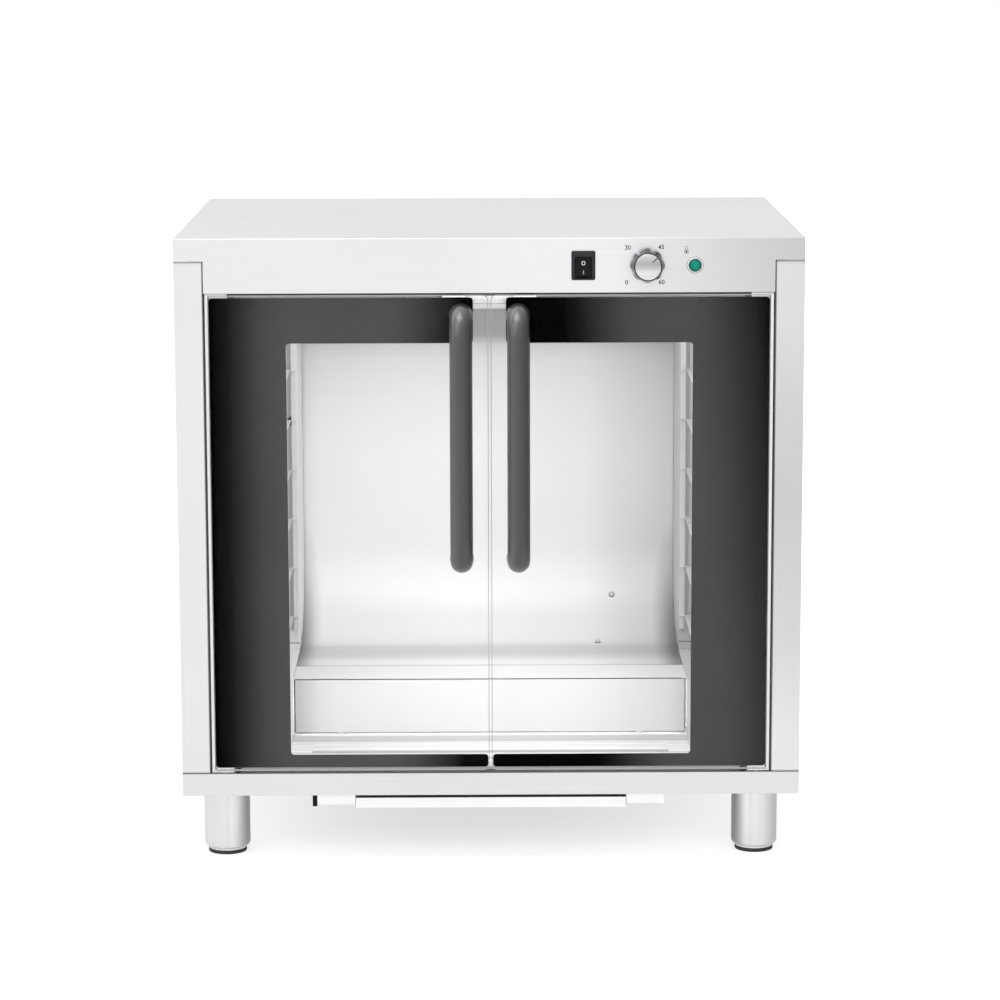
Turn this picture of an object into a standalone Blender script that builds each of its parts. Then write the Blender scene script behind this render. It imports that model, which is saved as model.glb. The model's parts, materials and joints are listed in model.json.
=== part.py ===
"""Proofing cabinet: a double-skinned steel cabinet with two glass doors, on four round legs.

Metres, +Z up. The cabinet stands on z = 0 and faces -Y, and its origin lies under the
middle of its whole box. A depth is measured back from the front face of the casing.
"""
import math

import bmesh
import bpy
import numpy as np
from mathutils import Matrix, Vector

for old in list(bpy.data.objects):
    bpy.data.objects.remove(old)

# Driving dimensions
CABINET_WIDTH = 0.800
CABINET_DEPTH = 0.620
TOTAL_HEIGHT = 0.811
SHEET = 0.0012
GAP = 0.0003
OVERRUN = 0.002
HANDLE_PROJECTION = 0.060
GLAND_LENGTH = 0.020
FOOT_HEIGHT = 0.0077
LEG_LENGTH = 0.0782
BASE_HEIGHT = 0.0297
SKIRT_HEIGHT = 0.029
FASCIA_HEIGHT = 0.0697
POST_WIDTH = 0.037
SIDE_SPACE = 0.097
REAR_SPACE = 0.0438
ALCOVE_DEPTH = 0.155
LOWER_STEP = 0.035
SILL_HEIGHT = 0.0175
HEADER_DROP = 0.0223
FLOOR_RISE = 0.0230
DECK_HEIGHT = 0.0785

# Planes of the casing
HALF_WIDTH = CABINET_WIDTH / 2
FRONT_Y = HANDLE_PROJECTION - (HANDLE_PROJECTION + CABINET_DEPTH + GLAND_LENGTH) / 2
BACK_Y = FRONT_Y + CABINET_DEPTH
LEG_BOTTOM_Z = FOOT_HEIGHT + GAP
LEG_TOP_Z = LEG_BOTTOM_Z + LEG_LENGTH
BASE_BOTTOM_Z = LEG_TOP_Z + GAP
BASE_TOP_Z = BASE_BOTTOM_Z + BASE_HEIGHT
POST_BOTTOM_Z = BASE_TOP_Z + GAP
SKIRT_BOTTOM_Z = TOTAL_HEIGHT - SKIRT_HEIGHT
POST_TOP_Z = SKIRT_BOTTOM_Z - GAP
FASCIA_BOTTOM_Z = TOTAL_HEIGHT - FASCIA_HEIGHT
POST_INNER_X = HALF_WIDTH - POST_WIDTH
FASCIA_HALF = POST_INNER_X - GAP

# Layers of a door, counted back from the front face
GLASS_THICKNESS = 0.006
PRINT_FILM = 0.0005
SEAL_THICKNESS = 0.0091
GLASS_BACK = GLASS_THICKNESS
PRINT_FRONT = GLASS_BACK + GAP
PRINT_BACK = PRINT_FRONT + PRINT_FILM
SEAL_FRONT = PRINT_BACK + GAP
SEAL_BACK = SEAL_FRONT + SEAL_THICKNESS
LAND_FRONT = SEAL_BACK + GAP
POST_RETURN = 0.0267
FLANGE_FRONT = POST_RETURN + GAP
FLANGE_BACK = FLANGE_FRONT + SHEET
LINER_FRONT = FLANGE_BACK + GAP

# Planes of the chamber
OPENING_HALF = HALF_WIDTH - SIDE_SPACE
OPENING_BOTTOM_Z = POST_BOTTOM_Z + SILL_HEIGHT
OPENING_TOP_Z = FASCIA_BOTTOM_Z - HEADER_DROP
LOWER_HALF = OPENING_HALF - LOWER_STEP
CHAMBER_BACK = CABINET_DEPTH - SHEET - REAR_SPACE
RETURN_FRONT = CHAMBER_BACK - ALCOVE_DEPTH
RETURN_BACK = RETURN_FRONT + SHEET
LINER_BACK = RETURN_BACK + GAP
FLOOR_TOP_Z = BASE_BOTTOM_Z + FLOOR_RISE
DECK_TOP_Z = FLOOR_TOP_Z + DECK_HEIGHT
DECK_BOTTOM_Z = DECK_TOP_Z - SHEET

SMOOTH_ANGLE = math.radians(35)
FLAT_ANGLE = math.radians(0.2)
MERGE_DISTANCE = 0.000001
PLANE_DIGITS = 9
SIDES = {"left": -1, "right": 1}


def at(depth):
    """World y of a depth behind the front face."""
    return FRONT_Y + depth


def finish(name, colour, roughness, metallic=0.0, transmission=0.0):
    """A plain Principled material."""
    made = bpy.data.materials.new(name)
    made.use_nodes = True
    shader = made.node_tree.nodes["Principled BSDF"]
    shader.inputs["Base Color"].default_value = (*colour, 1.0)
    shader.inputs["Roughness"].default_value = roughness
    shader.inputs["Metallic"].default_value = metallic
    shader.inputs["Transmission Weight"].default_value = transmission
    return made


STEEL = finish("satin_steel", (0.78, 0.78, 0.79), 0.32, 0.9)
LINER_STEEL = finish("liner_steel", (0.70, 0.70, 0.71), 0.36, 0.9)
POLISHED = finish("polished_steel", (0.80, 0.80, 0.81), 0.18, 1.0)
GLASS = finish("clear_glass", (0.95, 0.98, 0.97), 0.03, 0.0, 0.95)
PRINT_BLACK = finish("black_glass_print", (0.02, 0.02, 0.022), 0.25)
HANDLE_GREY = finish("grey_handle", (0.12, 0.12, 0.13), 0.38)
SWITCH_BLACK = finish("black_plastic", (0.015, 0.015, 0.017), 0.4)
KNOB_SILVER = finish("silver_plastic", (0.62, 0.62, 0.63), 0.28, 0.8)
LENS_GREEN = finish("green_lens", (0.01, 0.35, 0.20), 0.2)
SILICONE = finish("pale_silicone", (0.62, 0.62, 0.60), 0.6)
RUBBER = finish("black_rubber", (0.03, 0.03, 0.03), 0.8)
WHITE_PLASTIC = finish("white_plastic", (0.80, 0.80, 0.79), 0.45)
DARK_STEEL = finish("dark_steel", (0.10, 0.10, 0.11), 0.5, 0.6)


def add_object(name, data, material):
    """Link a mesh or a curve into the scene under its name and finish."""
    made = bpy.data.objects.new(name, data)
    data.materials.append(material)
    bpy.context.scene.collection.objects.link(made)
    return made


def from_bmesh(name, bm, material, smooth=False):
    """Turn a bmesh into a named object, round pieces shaded smooth."""
    mesh = bpy.data.meshes.new(name)
    bm.to_mesh(mesh)
    bm.free()
    if smooth:
        mesh.shade_smooth()
        mesh.set_sharp_from_angle(angle=SMOOTH_ANGLE)
    return add_object(name, mesh, material)


def box(x, y, z):
    """A box square to the axes, from three pairs of planes in any order."""
    return tuple(tuple(sorted(pair)) for pair in (x, y, z))


def window(outer_x, outer_z, inner_x, inner_z, y):
    """Four boxes that make a flat rectangular ring facing along Y."""
    return [
        box((outer_x[0], inner_x[0]), y, outer_z),
        box((inner_x[1], outer_x[1]), y, outer_z),
        box(outer_x, y, (outer_z[0], inner_z[0])),
        box(outer_x, y, (inner_z[1], outer_z[1])),
    ]


def folded(name, filled, material, cleared=()):
    """One solid of sheet metal: what the filled boxes cover, less what the cleared ones cover.

    Space is divided into cells at every plane of every box. A face is laid between each
    filled cell and an empty neighbour, and faces in one plane are then joined.
    """
    planes = []
    for axis in range(3):
        values = [value for each in (*filled, *cleared) for value in each[axis]]
        planes.append(np.unique(np.round(values, PLANE_DIGITS)))
    cells = np.zeros([len(values) + 1 for values in planes], dtype=bool)
    for group, state in ((filled, True), (cleared, False)):
        for each in group:
            ranges = []
            for axis in range(3):
                low, high = np.searchsorted(planes[axis], np.round(each[axis], PLANE_DIGITS))
                ranges.append(slice(low + 1, high + 1))
            cells[tuple(ranges)] = state
    bm = bmesh.new()
    corners = {}

    def corner(index):
        if index not in corners:
            corners[index] = bm.verts.new([planes[axis][index[axis]] for axis in range(3)])
        return corners[index]

    for axis in range(3):
        across, along = (axis + 1) % 3, (axis + 2) % 3
        ahead = np.roll(cells, -1, axis=axis)
        for cell in np.argwhere(cells != ahead):
            if cell[axis] >= len(planes[axis]):
                continue
            ring = []
            for step_across, step_along in ((0, 0), (1, 0), (1, 1), (0, 1)):
                index = [0, 0, 0]
                index[axis] = int(cell[axis])
                index[across] = int(cell[across]) - 1 + step_across
                index[along] = int(cell[along]) - 1 + step_along
                ring.append(corner(tuple(index)))
            if not cells[tuple(cell)]:
                ring.reverse()
            bm.faces.new(ring)
    bmesh.ops.dissolve_limit(bm, angle_limit=FLAT_ANGLE, verts=bm.verts, edges=bm.edges)
    return from_bmesh(name, bm, material)


def extruded(name, outline, axis, span, material, smooth=False):
    """A flat outline pushed along an axis: 0 takes (y, z) points, 1 takes (x, z), 2 takes (x, y)."""
    bm = bmesh.new()
    low, high = min(span), max(span)
    ring = []
    for first, second in outline:
        point = [first, second]
        point.insert(axis, low)
        ring.append(bm.verts.new(point))
    face = bm.faces.new(ring)
    pushed = bmesh.ops.extrude_face_region(bm, geom=[face])
    moved = [item for item in pushed["geom"] if isinstance(item, bmesh.types.BMVert)]
    shift = Vector([high - low if index == axis else 0 for index in range(3)])
    bmesh.ops.translate(bm, verts=moved, vec=shift)
    bmesh.ops.recalc_face_normals(bm, faces=bm.faces)
    return from_bmesh(name, bm, material, smooth)


def arc(centre, radius, start, end, steps):
    """Points of a round stretch, angles in degrees."""
    angles = [math.radians(start + (end - start) * step / steps) for step in range(steps + 1)]
    return [(centre[0] + radius * math.cos(a), centre[1] + radius * math.sin(a)) for a in angles]


def rounded(corners, steps=3):
    """An outline whose corners, given as (x, z, radius), are rounded where the radius isn't zero."""
    points = []
    count = len(corners)
    for index, (x, z, radius) in enumerate(corners):
        here = Vector((x, z))
        if radius == 0:
            points.append((x, z))
            continue
        before = (Vector(corners[index - 1][:2]) - here).normalized()
        after = (Vector(corners[(index + 1) % count][:2]) - here).normalized()
        centre = here + (before + after) * radius
        for step in range(steps + 1):
            turn = math.pi / 2 * step / steps
            reach = after * math.cos(turn) + before * math.sin(turn)
            points.append(tuple(centre - reach * radius))
    return points


def turned(name, profile, centre, axis, segments, material, lobes=None):
    """A solid turned about an axis, from (radius, height) points that run from axis to axis.

    A profile that stays off the axis is closed into a ring. Lobes are (count, share, least
    radius): every point beyond that radius is pushed in and out by the share.
    """
    bm = bmesh.new()
    points = [bm.verts.new((radius, 0, height)) for radius, height in profile]
    pairs = list(zip(points, points[1:]))
    if profile[0][0] > 0:
        pairs.append((points[-1], points[0]))
    edges = [bm.edges.new(pair) for pair in pairs]
    bmesh.ops.spin(
        bm,
        geom=points + edges,
        cent=(0, 0, 0),
        axis=(0, 0, 1),
        angle=math.tau,
        steps=segments,
        use_merge=True,
    )
    bmesh.ops.remove_doubles(bm, verts=bm.verts, dist=MERGE_DISTANCE)
    bmesh.ops.recalc_face_normals(bm, faces=bm.faces)
    if lobes:
        count, share, least = lobes
        for vert in bm.verts:
            if vert.co.xy.length > least:
                swell = 1 + share * math.cos(count * math.atan2(vert.co.y, vert.co.x))
                vert.co.xy *= swell
    turn = Vector((0, 0, 1)).rotation_difference(Vector(axis)).to_matrix().to_4x4()
    bm.transform(Matrix.Translation(centre) @ turn)
    return from_bmesh(name, bm, material, smooth=True)


def tube(name, points, radius, material, sides_resolution, swell=None):
    """A round bar along a line of points, with closed ends."""
    data = bpy.data.curves.new(name, "CURVE")
    data.dimensions = "3D"
    data.bevel_depth = radius
    data.bevel_resolution = sides_resolution
    data.use_fill_caps = True
    line = data.splines.new("POLY")
    line.points.add(len(points) - 1)
    for index, point in enumerate(points):
        line.points[index].co = (*point, 1)
        line.points[index].radius = swell[index] if swell else 1
    return add_object(name, data, material)


def guide(name, centre, axis, radius, length, segments=16):
    """A hidden cylinder that another solid is cut by or joined to."""
    bm = bmesh.new()
    bmesh.ops.create_cone(
        bm,
        cap_ends=True,
        segments=segments,
        radius1=radius,
        radius2=radius,
        depth=length,
    )
    turn = Vector((0, 0, 1)).rotation_difference(Vector(axis)).to_matrix().to_4x4()
    bm.transform(Matrix.Translation(centre) @ turn)
    made = from_bmesh(name, bm, STEEL)
    made.hide_render = True
    made.display_type = "WIRE"
    return made


def combine(body, other, operation):
    """Cut a solid by another, or join the two, with an exact Boolean."""
    step = body.modifiers.new(other.name, "BOOLEAN")
    step.object = other
    step.operation = operation
    step.solver = "EXACT"


def pierce(body, centre, axis, radius, length):
    """Drill a round hole."""
    cutter = guide(body.name + "_drill", centre, axis, radius, length)
    combine(body, cutter, "DIFFERENCE")


def move_origin(piece, point):
    """Put a moving piece's origin on its joint's axis, its shape where it was."""
    piece.data.transform(Matrix.Translation(-Vector(point)))
    piece.location = point


# Casing

BASE_LIP = 0.018
POST_LIP = 0.017
VENT_COUNT = 9
VENT_LENGTH = 0.045
VENT_HEIGHT = 0.004
VENT_PITCH = 0.060
VENT_DROP = 0.045
GLAND_FROM_SIDE = 0.100
GLAND_X = HALF_WIDTH - GLAND_FROM_SIDE
GLAND_RISE = 0.045
GLAND_SHANK = 0.0075

LAMP_FROM_END = 0.1021
LAMP_TO_KNOB = 0.0605
KNOB_TO_SWITCH = 0.0810
CONTROL_DROP = 0.0352
LAMP_X = FASCIA_HALF - LAMP_FROM_END
KNOB_X = LAMP_X - LAMP_TO_KNOB
SWITCH_X = KNOB_X - KNOB_TO_SWITCH
CONTROL_Z = TOTAL_HEIGHT - CONTROL_DROP
SHAFT_RADIUS = 0.003
SHAFT_HOLE = 0.0045
LAMP_BARREL = 0.0058
SWITCH_HALF_X = 0.01515
SWITCH_HALF_Z = 0.01855
SWITCH_RIM = 0.003
HUNG_BODY_HALF_X = SWITCH_HALF_X - SWITCH_RIM
HUNG_BODY_HALF_Z = SWITCH_HALF_Z - SWITCH_RIM


def make_top_panel():
    """The top sheet, its skirt all round and the control fascia, folded from one blank."""
    wide = (-HALF_WIDTH, HALF_WIDTH)
    deep = (FRONT_Y, BACK_Y)
    skirt = (SKIRT_BOTTOM_Z, TOTAL_HEIGHT)
    filled = [
        box(wide, deep, (TOTAL_HEIGHT - SHEET, TOTAL_HEIGHT)),
        box(wide, (FRONT_Y, at(SHEET)), skirt),
        box(wide, (BACK_Y - SHEET, BACK_Y), skirt),
        box((-HALF_WIDTH, SHEET - HALF_WIDTH), deep, skirt),
        box((HALF_WIDTH - SHEET, HALF_WIDTH), deep, skirt),
        box((-FASCIA_HALF, FASCIA_HALF), (FRONT_Y, at(SHEET)), (FASCIA_BOTTOM_Z, TOTAL_HEIGHT)),
    ]
    switch_hole = box(
        (SWITCH_X - HUNG_BODY_HALF_X - GAP, SWITCH_X + HUNG_BODY_HALF_X + GAP),
        (FRONT_Y - OVERRUN, at(SHEET)),
        (CONTROL_Z - HUNG_BODY_HALF_Z - GAP, CONTROL_Z + HUNG_BODY_HALF_Z + GAP),
    )
    panel = folded("top_panel", filled, STEEL, [switch_hole])
    for x, radius in ((KNOB_X, SHAFT_HOLE), (LAMP_X, LAMP_BARREL + GAP)):
        pierce(panel, (x, at(SHEET / 2), CONTROL_Z), (0, 1, 0), radius, SHEET + OVERRUN)


def make_side_panel(side, sign):
    """An outer side sheet whose front edge is folded into the door post."""
    high = (POST_BOTTOM_Z, POST_TOP_Z)
    rear = BACK_Y - SHEET - GAP
    filled = [
        box((sign * (HALF_WIDTH - SHEET), sign * HALF_WIDTH), (FRONT_Y, rear), high),
        box((sign * POST_INNER_X, sign * HALF_WIDTH), (FRONT_Y, at(SHEET)), high),
        box((sign * POST_INNER_X, sign * (POST_INNER_X + SHEET)), (FRONT_Y, at(POST_RETURN)), high),
        box(
            (sign * POST_INNER_X, sign * (POST_INNER_X + POST_LIP)),
            (at(POST_RETURN - SHEET), at(POST_RETURN)),
            high,
        ),
    ]
    folded(side + "_side_panel", filled, STEEL)


def make_back_panel():
    """The rear sheet, with a row of vent slots at the top and a round hole for the gland."""
    cleared = []
    low = POST_TOP_Z - VENT_DROP
    for index in range(VENT_COUNT):
        middle = (index - (VENT_COUNT - 1) / 2) * VENT_PITCH
        cleared.append(
            box(
                (middle - VENT_LENGTH / 2, middle + VENT_LENGTH / 2),
                (BACK_Y - SHEET, BACK_Y),
                (low, low + VENT_HEIGHT),
            )
        )
    sheet = box((-HALF_WIDTH, HALF_WIDTH), (BACK_Y - SHEET, BACK_Y), (POST_BOTTOM_Z, POST_TOP_Z))
    panel = folded("back_panel", [sheet], STEEL, cleared)
    centre = (GLAND_X, BACK_Y - SHEET / 2, POST_BOTTOM_Z + GLAND_RISE)
    pierce(panel, centre, (0, 1, 0), GLAND_SHANK + GAP, SHEET + OVERRUN)


PIVOT_INSET = 0.018
PIVOT_DEPTH = 0.007
PIVOT_X = POST_INNER_X - PIVOT_INSET
PIN_RADIUS = 0.0025
PIN_LENGTH = 0.010
BRACKET_REACH = 0.015
BRACKET_HEIGHT = 0.011
BRACKET_INNER_X = PIVOT_X - BRACKET_REACH
LOWER_BRACKET_Z = (BASE_TOP_Z - BRACKET_HEIGHT, BASE_TOP_Z)
UPPER_BRACKET_Z = (FASCIA_BOTTOM_Z, FASCIA_BOTTOM_Z + BRACKET_HEIGHT)


def make_base_frame():
    """A shallow pan with inward lips on top, notched for the lower door pivots."""
    wide = (-HALF_WIDTH, HALF_WIDTH)
    deep = (FRONT_Y, BACK_Y)
    high = (BASE_BOTTOM_Z, BASE_TOP_Z)
    lip = (BASE_TOP_Z - SHEET, BASE_TOP_Z)
    filled = [
        box(wide, deep, (BASE_BOTTOM_Z, BASE_BOTTOM_Z + SHEET)),
        box(wide, (FRONT_Y, at(SHEET)), high),
        box(wide, (BACK_Y - SHEET, BACK_Y), high),
        box((-HALF_WIDTH, SHEET - HALF_WIDTH), deep, high),
        box((HALF_WIDTH - SHEET, HALF_WIDTH), deep, high),
        box(wide, (FRONT_Y, at(BASE_LIP)), lip),
        box(wide, (BACK_Y - BASE_LIP, BACK_Y), lip),
        box((-HALF_WIDTH, BASE_LIP - HALF_WIDTH), deep, lip),
        box((HALF_WIDTH - BASE_LIP, HALF_WIDTH), deep, lip),
    ]
    notches = [
        box((sign * (BRACKET_INNER_X - GAP), sign * POST_INNER_X), (at(SHEET), at(BASE_LIP)), lip)
        for sign in SIDES.values()
    ]
    folded("base_frame", filled, STEEL, notches)


# Front frame that the doors close on

LAND_SIDE = 0.022
LAND_TOP = 0.0215
FLANGE_OVERLAP = 0.012
FLANGE_TOP = 0.012
FLANGE_HALF = POST_INNER_X + FLANGE_OVERLAP
LAND_HALF = OPENING_HALF + LAND_SIDE
LAND_TOP_Z = OPENING_TOP_Z + LAND_TOP
FRAME_TOP_Z = LAND_TOP_Z + FLANGE_TOP
SEAL_WIDTH = 0.008
SEAL_TOP_RISE = 0.0015
SEAL_TOP_WIDTH = 0.006
SEAL_BOTTOM_RISE = 0.006
SEAL_BOTTOM_WIDTH = 0.0075
MAGNET_INSET = 0.030
MAGNET_LENGTH = 0.030
MAGNET_HEIGHT = 0.010
STRIKER_THICKNESS = 0.001
STRIKER_HEIGHT = 0.007
MAGNET_RISE = 0.0015
SEAL_TOP_Z = OPENING_TOP_Z + SEAL_TOP_RISE + SEAL_TOP_WIDTH
MAGNET_Z = SEAL_TOP_Z + MAGNET_RISE


def make_front_frame():
    """A hat-section ring: a raised land for the seal, returns round it, and a flange behind the posts."""
    opening_x = (-OPENING_HALF, OPENING_HALF)
    opening_z = (OPENING_BOTTOM_Z, OPENING_TOP_Z)
    tunnel_x = (-OPENING_HALF - SHEET, OPENING_HALF + SHEET)
    tunnel_z = (OPENING_BOTTOM_Z - SHEET, OPENING_TOP_Z + SHEET)
    land_x = (-LAND_HALF, LAND_HALF)
    land_z = (POST_BOTTOM_Z, LAND_TOP_Z)
    rim_x = (SHEET - LAND_HALF, LAND_HALF - SHEET)
    rim_z = (POST_BOTTOM_Z + SHEET, LAND_TOP_Z - SHEET)
    flange_x = (-FLANGE_HALF, FLANGE_HALF)
    flange_z = (POST_BOTTOM_Z, FRAME_TOP_Z)
    front = at(LAND_FRONT)
    back = at(FLANGE_BACK)
    filled = window(land_x, land_z, opening_x, opening_z, (front, at(LAND_FRONT + SHEET)))
    filled += window(tunnel_x, tunnel_z, opening_x, opening_z, (front, back))
    filled += window(land_x, land_z, rim_x, rim_z, (front, back))
    filled += window(flange_x, flange_z, land_x, land_z, (at(FLANGE_FRONT), back))[:2]
    filled.append(box(land_x, (at(FLANGE_FRONT), back), (LAND_TOP_Z, FRAME_TOP_Z)))
    folded("front_frame", filled, STEEL)


def make_seal():
    """The silicone gasket that the glass closes against."""
    outer = LAND_HALF - SEAL_WIDTH
    inner = outer - SEAL_WIDTH
    outer_z = (POST_BOTTOM_Z + SEAL_BOTTOM_RISE, SEAL_TOP_Z)
    inner_z = (outer_z[0] + SEAL_BOTTOM_WIDTH, outer_z[1] - SEAL_TOP_WIDTH)
    strip = window((-outer, outer), outer_z, (-inner, inner), inner_z, (at(SEAL_FRONT), at(SEAL_BACK)))
    folded("door_seal", strip, SILICONE)


def make_magnet(side, sign):
    """A catch magnet on the land, behind the door's free top corner."""
    x = (sign * MAGNET_INSET, sign * (MAGNET_INSET + MAGNET_LENGTH))
    y = (at(SEAL_FRONT + STRIKER_THICKNESS + GAP), at(SEAL_BACK))
    folded(side + "_door_magnet", [box(x, y, (MAGNET_Z, MAGNET_Z + MAGNET_HEIGHT))], SWITCH_BLACK)


def make_pivot_bracket(side, sign, level, z):
    """A fixed steel block with the bore that a door pin turns in."""
    x = (sign * BRACKET_INNER_X, sign * (POST_INNER_X - GAP))
    block = folded(
        f"{side}_{level}_pivot_bracket",
        [box(x, (at(SHEET + GAP), at(POST_RETURN)), z)],
        POLISHED,
    )
    centre = (sign * PIVOT_X, at(PIVOT_DEPTH), (z[0] + z[1]) / 2)
    pierce(block, centre, (0, 0, 1), PIN_RADIUS + GAP, BRACKET_HEIGHT + OVERRUN)


# Doors

DOOR_TOP_GAP = 0.0026
DOOR_BOTTOM_GAP = 0.0033
DOOR_SIDE_GAP = 0.002
DOOR_MIDDLE_GAP = 0.003
GLASS_CORNER = 0.007
GLASS_TOP_Z = FASCIA_BOTTOM_Z - DOOR_TOP_GAP
GLASS_BOTTOM_Z = BASE_TOP_Z + DOOR_BOTTOM_GAP
GLASS_OUTER_X = POST_INNER_X - DOOR_SIDE_GAP
GLASS_INNER_X = DOOR_MIDDLE_GAP / 2
PRINT_SIDE_MARGIN = 0.0045
PRINT_TOP_MARGIN = 0.0039
PRINT_BOTTOM_MARGIN = 0.0032
PRINT_SIDE_BAR = 0.0975
PRINT_TOP_BAR = 0.0581
PRINT_BOTTOM_BAR = 0.0168
PRINT_TOP_END = 0.0195
PRINT_BOTTOM_END = 0.0015
PRINT_CORNER = 0.004
SHOE_PLATE = 0.0015
SHOE_FRONT = 0.0005
SHOE_PLATE_BACK = 0.014
SHOE_HALF_INNER = 0.012
SHOE_HALF_OUTER = 0.011
SHOE_DROP = 0.0203
HANDLE_RADIUS = 0.0145
HANDLE_X = 0.0363
HANDLE_TOP_DROP = 0.0117
HANDLE_LENGTH = 0.3425
HANDLE_BEND = 0.026
HANDLE_FOOT = 0.004
HANDLE_FOOT_SHARE = 1.07


def make_glass(side, sign):
    """A flat pane with rounded corners at the meeting edge."""
    outline = rounded([
        (sign * GLASS_INNER_X, GLASS_BOTTOM_Z, GLASS_CORNER),
        (sign * GLASS_OUTER_X, GLASS_BOTTOM_Z, 0),
        (sign * GLASS_OUTER_X, GLASS_TOP_Z, 0),
        (sign * GLASS_INNER_X, GLASS_TOP_Z, GLASS_CORNER),
    ])
    return extruded(side + "_door_glass", outline, 1, (FRONT_Y, at(GLASS_BACK)), GLASS)


def make_print(side, sign):
    """The black C-shaped border behind the glass, open towards the meeting edge."""
    outer = GLASS_OUTER_X - PRINT_SIDE_MARGIN
    inner = outer - PRINT_SIDE_BAR
    top = GLASS_TOP_Z - PRINT_TOP_MARGIN
    bottom = GLASS_BOTTOM_Z + PRINT_BOTTOM_MARGIN
    under_top = top - PRINT_TOP_BAR
    over_bottom = bottom + PRINT_BOTTOM_BAR
    top_end = GLASS_INNER_X + PRINT_TOP_END
    bottom_end = GLASS_INNER_X + PRINT_BOTTOM_END
    outline = rounded([
        (sign * outer, bottom, PRINT_CORNER),
        (sign * outer, top, PRINT_CORNER),
        (sign * top_end, top, PRINT_CORNER),
        (sign * top_end, under_top, PRINT_CORNER),
        (sign * inner, under_top, PRINT_CORNER),
        (sign * inner, over_bottom, PRINT_CORNER),
        (sign * bottom_end, over_bottom, PRINT_CORNER),
        (sign * bottom_end, bottom, PRINT_CORNER),
    ])
    return extruded(side + "_door_print", outline, 1, (at(PRINT_FRONT), at(PRINT_BACK)), PRINT_BLACK)


def make_shoe(side, sign, level):
    """A hinge shoe: a block behind the pane's corner, a plate over its edge, and the pivot pin."""
    up = 1 if level == "upper" else -1
    edge = GLASS_TOP_Z if level == "upper" else GLASS_BOTTOM_Z
    seat = edge + up * GAP
    face = seat + up * SHOE_PLATE
    filled = [
        box(
            (sign * (PIVOT_X - SHOE_HALF_INNER), sign * GLASS_OUTER_X),
            (at(SHOE_FRONT), at(SHOE_PLATE_BACK)),
            (seat, face),
        ),
        box(
            (sign * (PIVOT_X - SHOE_HALF_INNER), sign * (PIVOT_X + SHOE_HALF_OUTER)),
            (at(SEAL_FRONT), at(LAND_FRONT)),
            (seat - up * SHOE_DROP, seat),
        ),
    ]
    name = f"{side}_{level}_hinge_shoe"
    shoe = folded(name, filled, WHITE_PLASTIC)
    length = PIN_LENGTH + SHOE_PLATE / 2
    middle = (sign * PIVOT_X, at(PIVOT_DEPTH), face + up * (PIN_LENGTH - length / 2))
    pin = guide(name + "_pin", middle, (0, 0, 1), PIN_RADIUS, length)
    combine(shoe, pin, "UNION")
    return shoe


def make_striker(side, sign):
    """The steel plate that the catch magnet pulls, stuck behind the print."""
    low = MAGNET_Z
    x = (sign * MAGNET_INSET, sign * (MAGNET_INSET + MAGNET_LENGTH))
    y = (at(SEAL_FRONT), at(SEAL_FRONT + STRIKER_THICKNESS))
    z = (low, low + STRIKER_HEIGHT)
    return folded(side + "_striker_plate", [box(x, y, z)], DARK_STEEL)


def make_handle(side, sign):
    """A bow handle: a round bar whose ends bend back to the pane."""
    reach = HANDLE_PROJECTION - HANDLE_RADIUS
    top = GLASS_TOP_Z - HANDLE_TOP_DROP - HANDLE_RADIUS
    bottom = GLASS_TOP_Z - HANDLE_TOP_DROP - HANDLE_LENGTH + HANDLE_RADIUS
    bend_front = HANDLE_BEND - reach
    steps = 6
    upper = [(-GAP, top), (-GAP - HANDLE_FOOT, top)]
    upper += arc((bend_front, top - HANDLE_BEND), HANDLE_BEND, 90, 180, steps)
    lower = arc((bend_front, bottom + HANDLE_BEND), HANDLE_BEND, 180, 270, steps)
    lower += [(-GAP - HANDLE_FOOT, bottom), (-GAP, bottom)]
    line = [(sign * HANDLE_X, at(depth), z) for depth, z in upper + lower]
    swell = [HANDLE_FOOT_SHARE] + [1] * (len(line) - 2) + [HANDLE_FOOT_SHARE]
    return tube(side + "_door_handle", line, HANDLE_RADIUS, HANDLE_GREY, 6, swell)


def make_door(side, sign):
    """One door: everything that turns about its two pins."""
    axis_point = (sign * PIVOT_X, at(PIVOT_DEPTH), GLASS_BOTTOM_Z)
    pieces = [
        make_glass(side, sign),
        make_print(side, sign),
        make_striker(side, sign),
        make_handle(side, sign),
        make_shoe(side, sign, "upper"),
        make_shoe(side, sign, "lower"),
    ]
    for piece in pieces:
        move_origin(piece, axis_point)


# Liner of the chamber

COVE_RADIUS = 0.120
COVE_STEPS = 9
DECK_SEAM = 0.102
DECK_STRIP_DEPTH = 0.078
SLOT_FROM_WALL = 0.0075
SLOT_WIDTH = 0.006
SLOT_MARGIN = 0.030
FLOOR_REAR_TOP = 0.022
FRONT_RIDGE_FROM_SILL = 0.1065
FRONT_RIDGE_WIDTH = 0.013
FRONT_RIDGE_HEIGHT = 0.003
RIDGE_SPACE = 0.015
REAR_RIDGE_WIDTH = 0.021
REAR_RIDGE_HEIGHT = 0.002
RIDGE_END = 0.030
BASIN_DEPTH = 0.173
BASIN_BACK_CLEAR = 0.010
BASIN_BACK = RETURN_FRONT - BASIN_BACK_CLEAR
BASIN_FRONT = BASIN_BACK - BASIN_DEPTH
BEAD_X = 0.200
BEAD_WIDTH = 0.008
BEAD_HEIGHT = 0.0037


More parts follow.
